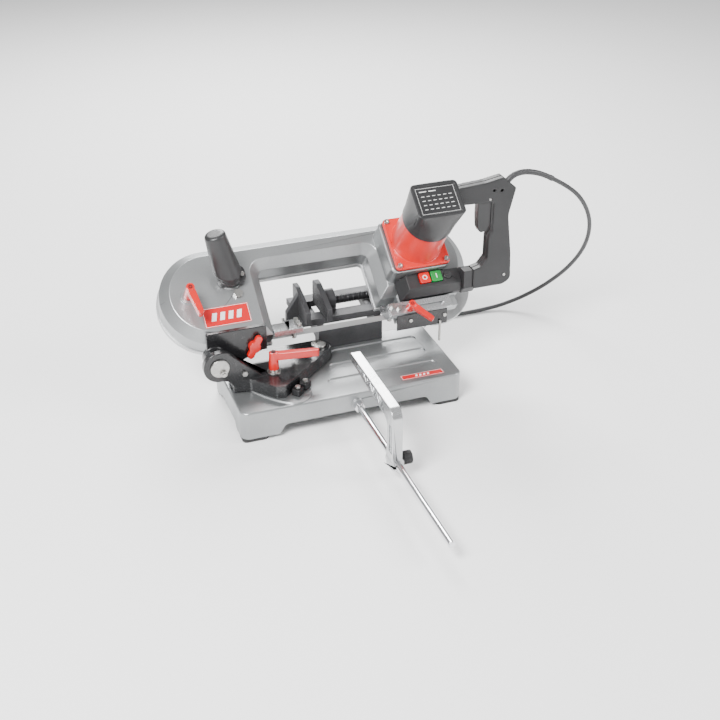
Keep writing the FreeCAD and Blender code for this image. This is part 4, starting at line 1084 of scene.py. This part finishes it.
@dataclass
class Cord:
    """Mains lead: sleeve, run to the floor, coil and plug."""

    sleeve_route: tuple = ((371.7, 12, 423), (380, 12, 432.4), (403, 12, 437.5), (429, 12, 433),
                           (452, 12, 424.6), (473, 12, 413))
    route: tuple = ((473, 12, 413), (520, 14, 386), (565, 26, 338), (598, 50, 276), (612, 86, 206),
                    (604, 130, 138), (578, 176, 78), (538, 211, 34), (488, 229, 10),
                    (436, 231, 4.6), (372, 230.5, 4.6))
    coil_middle: tuple = (320.0, 290.0)
    outer: float = 59.5
    inner: float = 41.0
    low: float = 4.6
    high: float = 13.8
    tail: tuple = ((333, 349.5, 14.4), (345, 349.5, 16.2), (352, 349.5, 17), (360, 349.5, 17))
    per_turn: int = 16
    length: float = 2.07
    diameter: float = 9.0
    path: list = field(default_factory=list)

    def coil(self) -> list[tuple]:
        """Points of the coil: two turns in, half a turn up, two turns out."""
        points, step = [], 360 / self.per_turn
        for index in range(1, round(1620 / step) + 1):
            angle = index * step
            if angle <= 720:
                radius, z = self.outer + (self.inner - self.outer) * angle / 720, self.low
            elif angle <= 900:
                t = (angle - 720) / 180
                radius, z = self.inner, self.low + (self.high - self.low) * t * t * (3 - 2 * t)
            else:
                radius, z = self.inner + (self.outer - self.inner) * (angle - 900) / 720, self.high
            turn = math.radians(-90 - angle)
            points.append((self.coil_middle[0] + radius * math.cos(turn),
                           self.coil_middle[1] + radius * math.sin(turn), z))
        return points

    def smooth(self, points: list, fine: int) -> list[Vector]:
        """Reads the points of one smooth NURBS line.

        Args:
            points: Control points in millimetres.
            fine: Steps for each span.

        Returns:
            Points along the line, in metres.
        """
        curve = bpy.data.curves.new("lead_line", "CURVE")
        curve.dimensions = "3D"
        spline = curve.splines.new("NURBS")
        spline.points.add(len(points) - 1)
        for place, point in zip(spline.points, points):
            place.co = (*(Vector(point) * MM), 1)
        spline.order_u, spline.use_endpoint_u, spline.resolution_u = 3, True, fine
        line = bpy.data.objects.new("lead_line", curve)
        bpy.context.scene.collection.objects.link(line)
        graph = bpy.context.evaluated_depsgraph_get()
        mesh = bpy.data.meshes.new_from_object(line.evaluated_get(graph))
        found = [vertex.co.copy() for vertex in mesh.vertices]
        bpy.data.objects.remove(line)
        return found

    def tube(self, path: list[Vector], radii: list[float], sides: int) -> bpy.types.Mesh:
        """A closed tube along a path.

        Args:
            path: Its middle line.
            radii: Radius at each point in millimetres.
            sides: Faces round it.

        Returns:
            The tube's mesh.
        """
        shape, rings = bmesh.new(), []
        side = Vector((0, 1, 0))
        for index, spot in enumerate(path):
            ahead = (path[min(index + 1, len(path) - 1)] - path[max(index - 1, 0)]).normalized()
            side = (side - ahead * side.dot(ahead)).normalized()
            up = ahead.cross(side)
            rings.append([shape.verts.new(spot + (side * math.cos(a) + up * math.sin(a)) * radii[index] * MM)
                          for a in (math.tau * i / sides for i in range(sides))])
        for first, second in zip(rings, rings[1:]):
            for i in range(sides):
                j = (i + 1) % sides
                shape.faces.new((first[i], first[j], second[j], second[i]))
        shape.faces.new(rings[0][::-1])
        shape.faces.new(rings[-1])
        bmesh.ops.recalc_face_normals(shape, faces=shape.faces)
        mesh = bpy.data.meshes.new("tube")
        shape.to_mesh(mesh)
        shape.free()
        mesh.shade_smooth()
        mesh.set_sharp_from_angle(angle=math.radians(50))
        return mesh

    def sleeve(self) -> None:
        """Tapered strain relief with a collar at its end."""
        path = self.smooth(list(self.sleeve_route), 16)
        last = len(path) - 1
        radii = []
        for index in range(last + 1):
            t = index / last
            rib = 0.25 * (math.sin(t * 60) > 0.2) if 0.08 < t < 0.5 else 0.0
            radii.append(6.4 - 1.0 * t - rib + (0.45 if t > 0.95 else 0.0))
        put(self.tube(path, radii, 20), "strain_relief", Matrix(), Coating.CORD, "bow",
            SLOT_OF["cord_sleeve"], "cord_sleeve")

    def build(self) -> None:
        self.sleeve()
        plug = moulded("power_plug", Coating.CORD, 0.8, 4)
        self.path = self.smooth(list(self.route) + self.coil() + list(self.tail), 6)
        mesh = self.tube(self.path, [self.diameter / 2] * len(self.path), 14)
        mesh.materials.append(Coating.CORD.value.make())
        lead = holder("mains_lead", mesh)
        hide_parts("power_cord", "cord_coil")
        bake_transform(lead, "swivel_arm", "bow", start=(0.45, 0.231, 0.01), end=(0.48, 0.012, 0.40))


@dataclass
class Studio:
    """Pale floor, soft light and the camera."""

    place: tuple = (-0.68017, -2.01493, 1.34014)
    elevation: float = 30.57
    azimuth: float = -19.93
    lens: float = 60.0

    def build(self) -> None:
        """Sets the stage."""
        self.camera()
        self.floor()
        self.lights()

    def camera(self) -> None:
        """The view."""
        data = bpy.data.cameras.new("view")
        data.lens, data.sensor_width = self.lens, 36.0
        camera = bpy.data.objects.new("view", data)
        camera.location = self.place
        camera.rotation_euler = (math.radians(90 - self.elevation), 0, math.radians(self.azimuth))
        bpy.context.scene.collection.objects.link(camera)
        bpy.context.scene.camera = camera

    def floor(self) -> None:
        """A wide pale sheet with a faint mottle."""
        mesh = bpy.data.meshes.new("floor")
        mesh.from_pydata([(-9, -9, 0), (9, -9, 0), (9, 9, 0), (-9, 9, 0)], [], [(0, 1, 2, 3)])
        shader = Shader("studio_sheet")
        tone = (shader.noise(1.5, 2.0) - 0.5) * 0.2 + 0.5
        colour = shader.mix(tone, (0.93, 0.93, 0.93), (0.9, 0.9, 0.9))
        surface = shader.node("ShaderNodeBsdfPrincipled", None,
                              {"Base Color": colour, "Roughness": 0.8})
        shader.node("ShaderNodeOutputMaterial", None, {0: surface.outputs[0]})
        mesh.materials.append(shader.material)
        holder("floor", mesh)

    def lights(self) -> None:
        """A white room and three soft panels."""
        world = bpy.data.worlds.new("white_room")
        world.use_nodes = True
        back = world.node_tree.nodes["Background"]
        back.inputs[0].default_value, back.inputs[1].default_value = (1, 1, 1, 1), 0.6
        bpy.context.scene.world = world
        for name, spot, size, power in (("key", (-1.6, -1.4, 2.4), 1.1, 190),
                                        ("fill", (2.0, -1.2, 1.6), 1.0, 50),
                                        ("rim", (0.4, 2.2, 2.0), 1.4, 130)):
            data = bpy.data.lights.new(name, "AREA")
            data.size, data.energy = size, power
            lamp = bpy.data.objects.new(name, data)
            lamp.location = spot
            lamp.rotation_euler = (Vector((0.05, 0, 0.15)) - Vector(spot)).to_track_quat("-Z", "Y").to_euler()
            bpy.context.scene.collection.objects.link(lamp)


def main() -> None:
    """Builds every sub-assembly in order."""
    logging.basicConfig(level=logging.INFO, format="%(message)s")
    for part in (Studio(), Cord(), Base(), Vise(), SwivelArm(), Bow(), Blade(), Guides(), Motor(),
                 Switches(), Handles(), LengthStop()):
        log.info("-- %s", type(part).__name__)
        part.build()


if __name__ == "__main__":
    main()
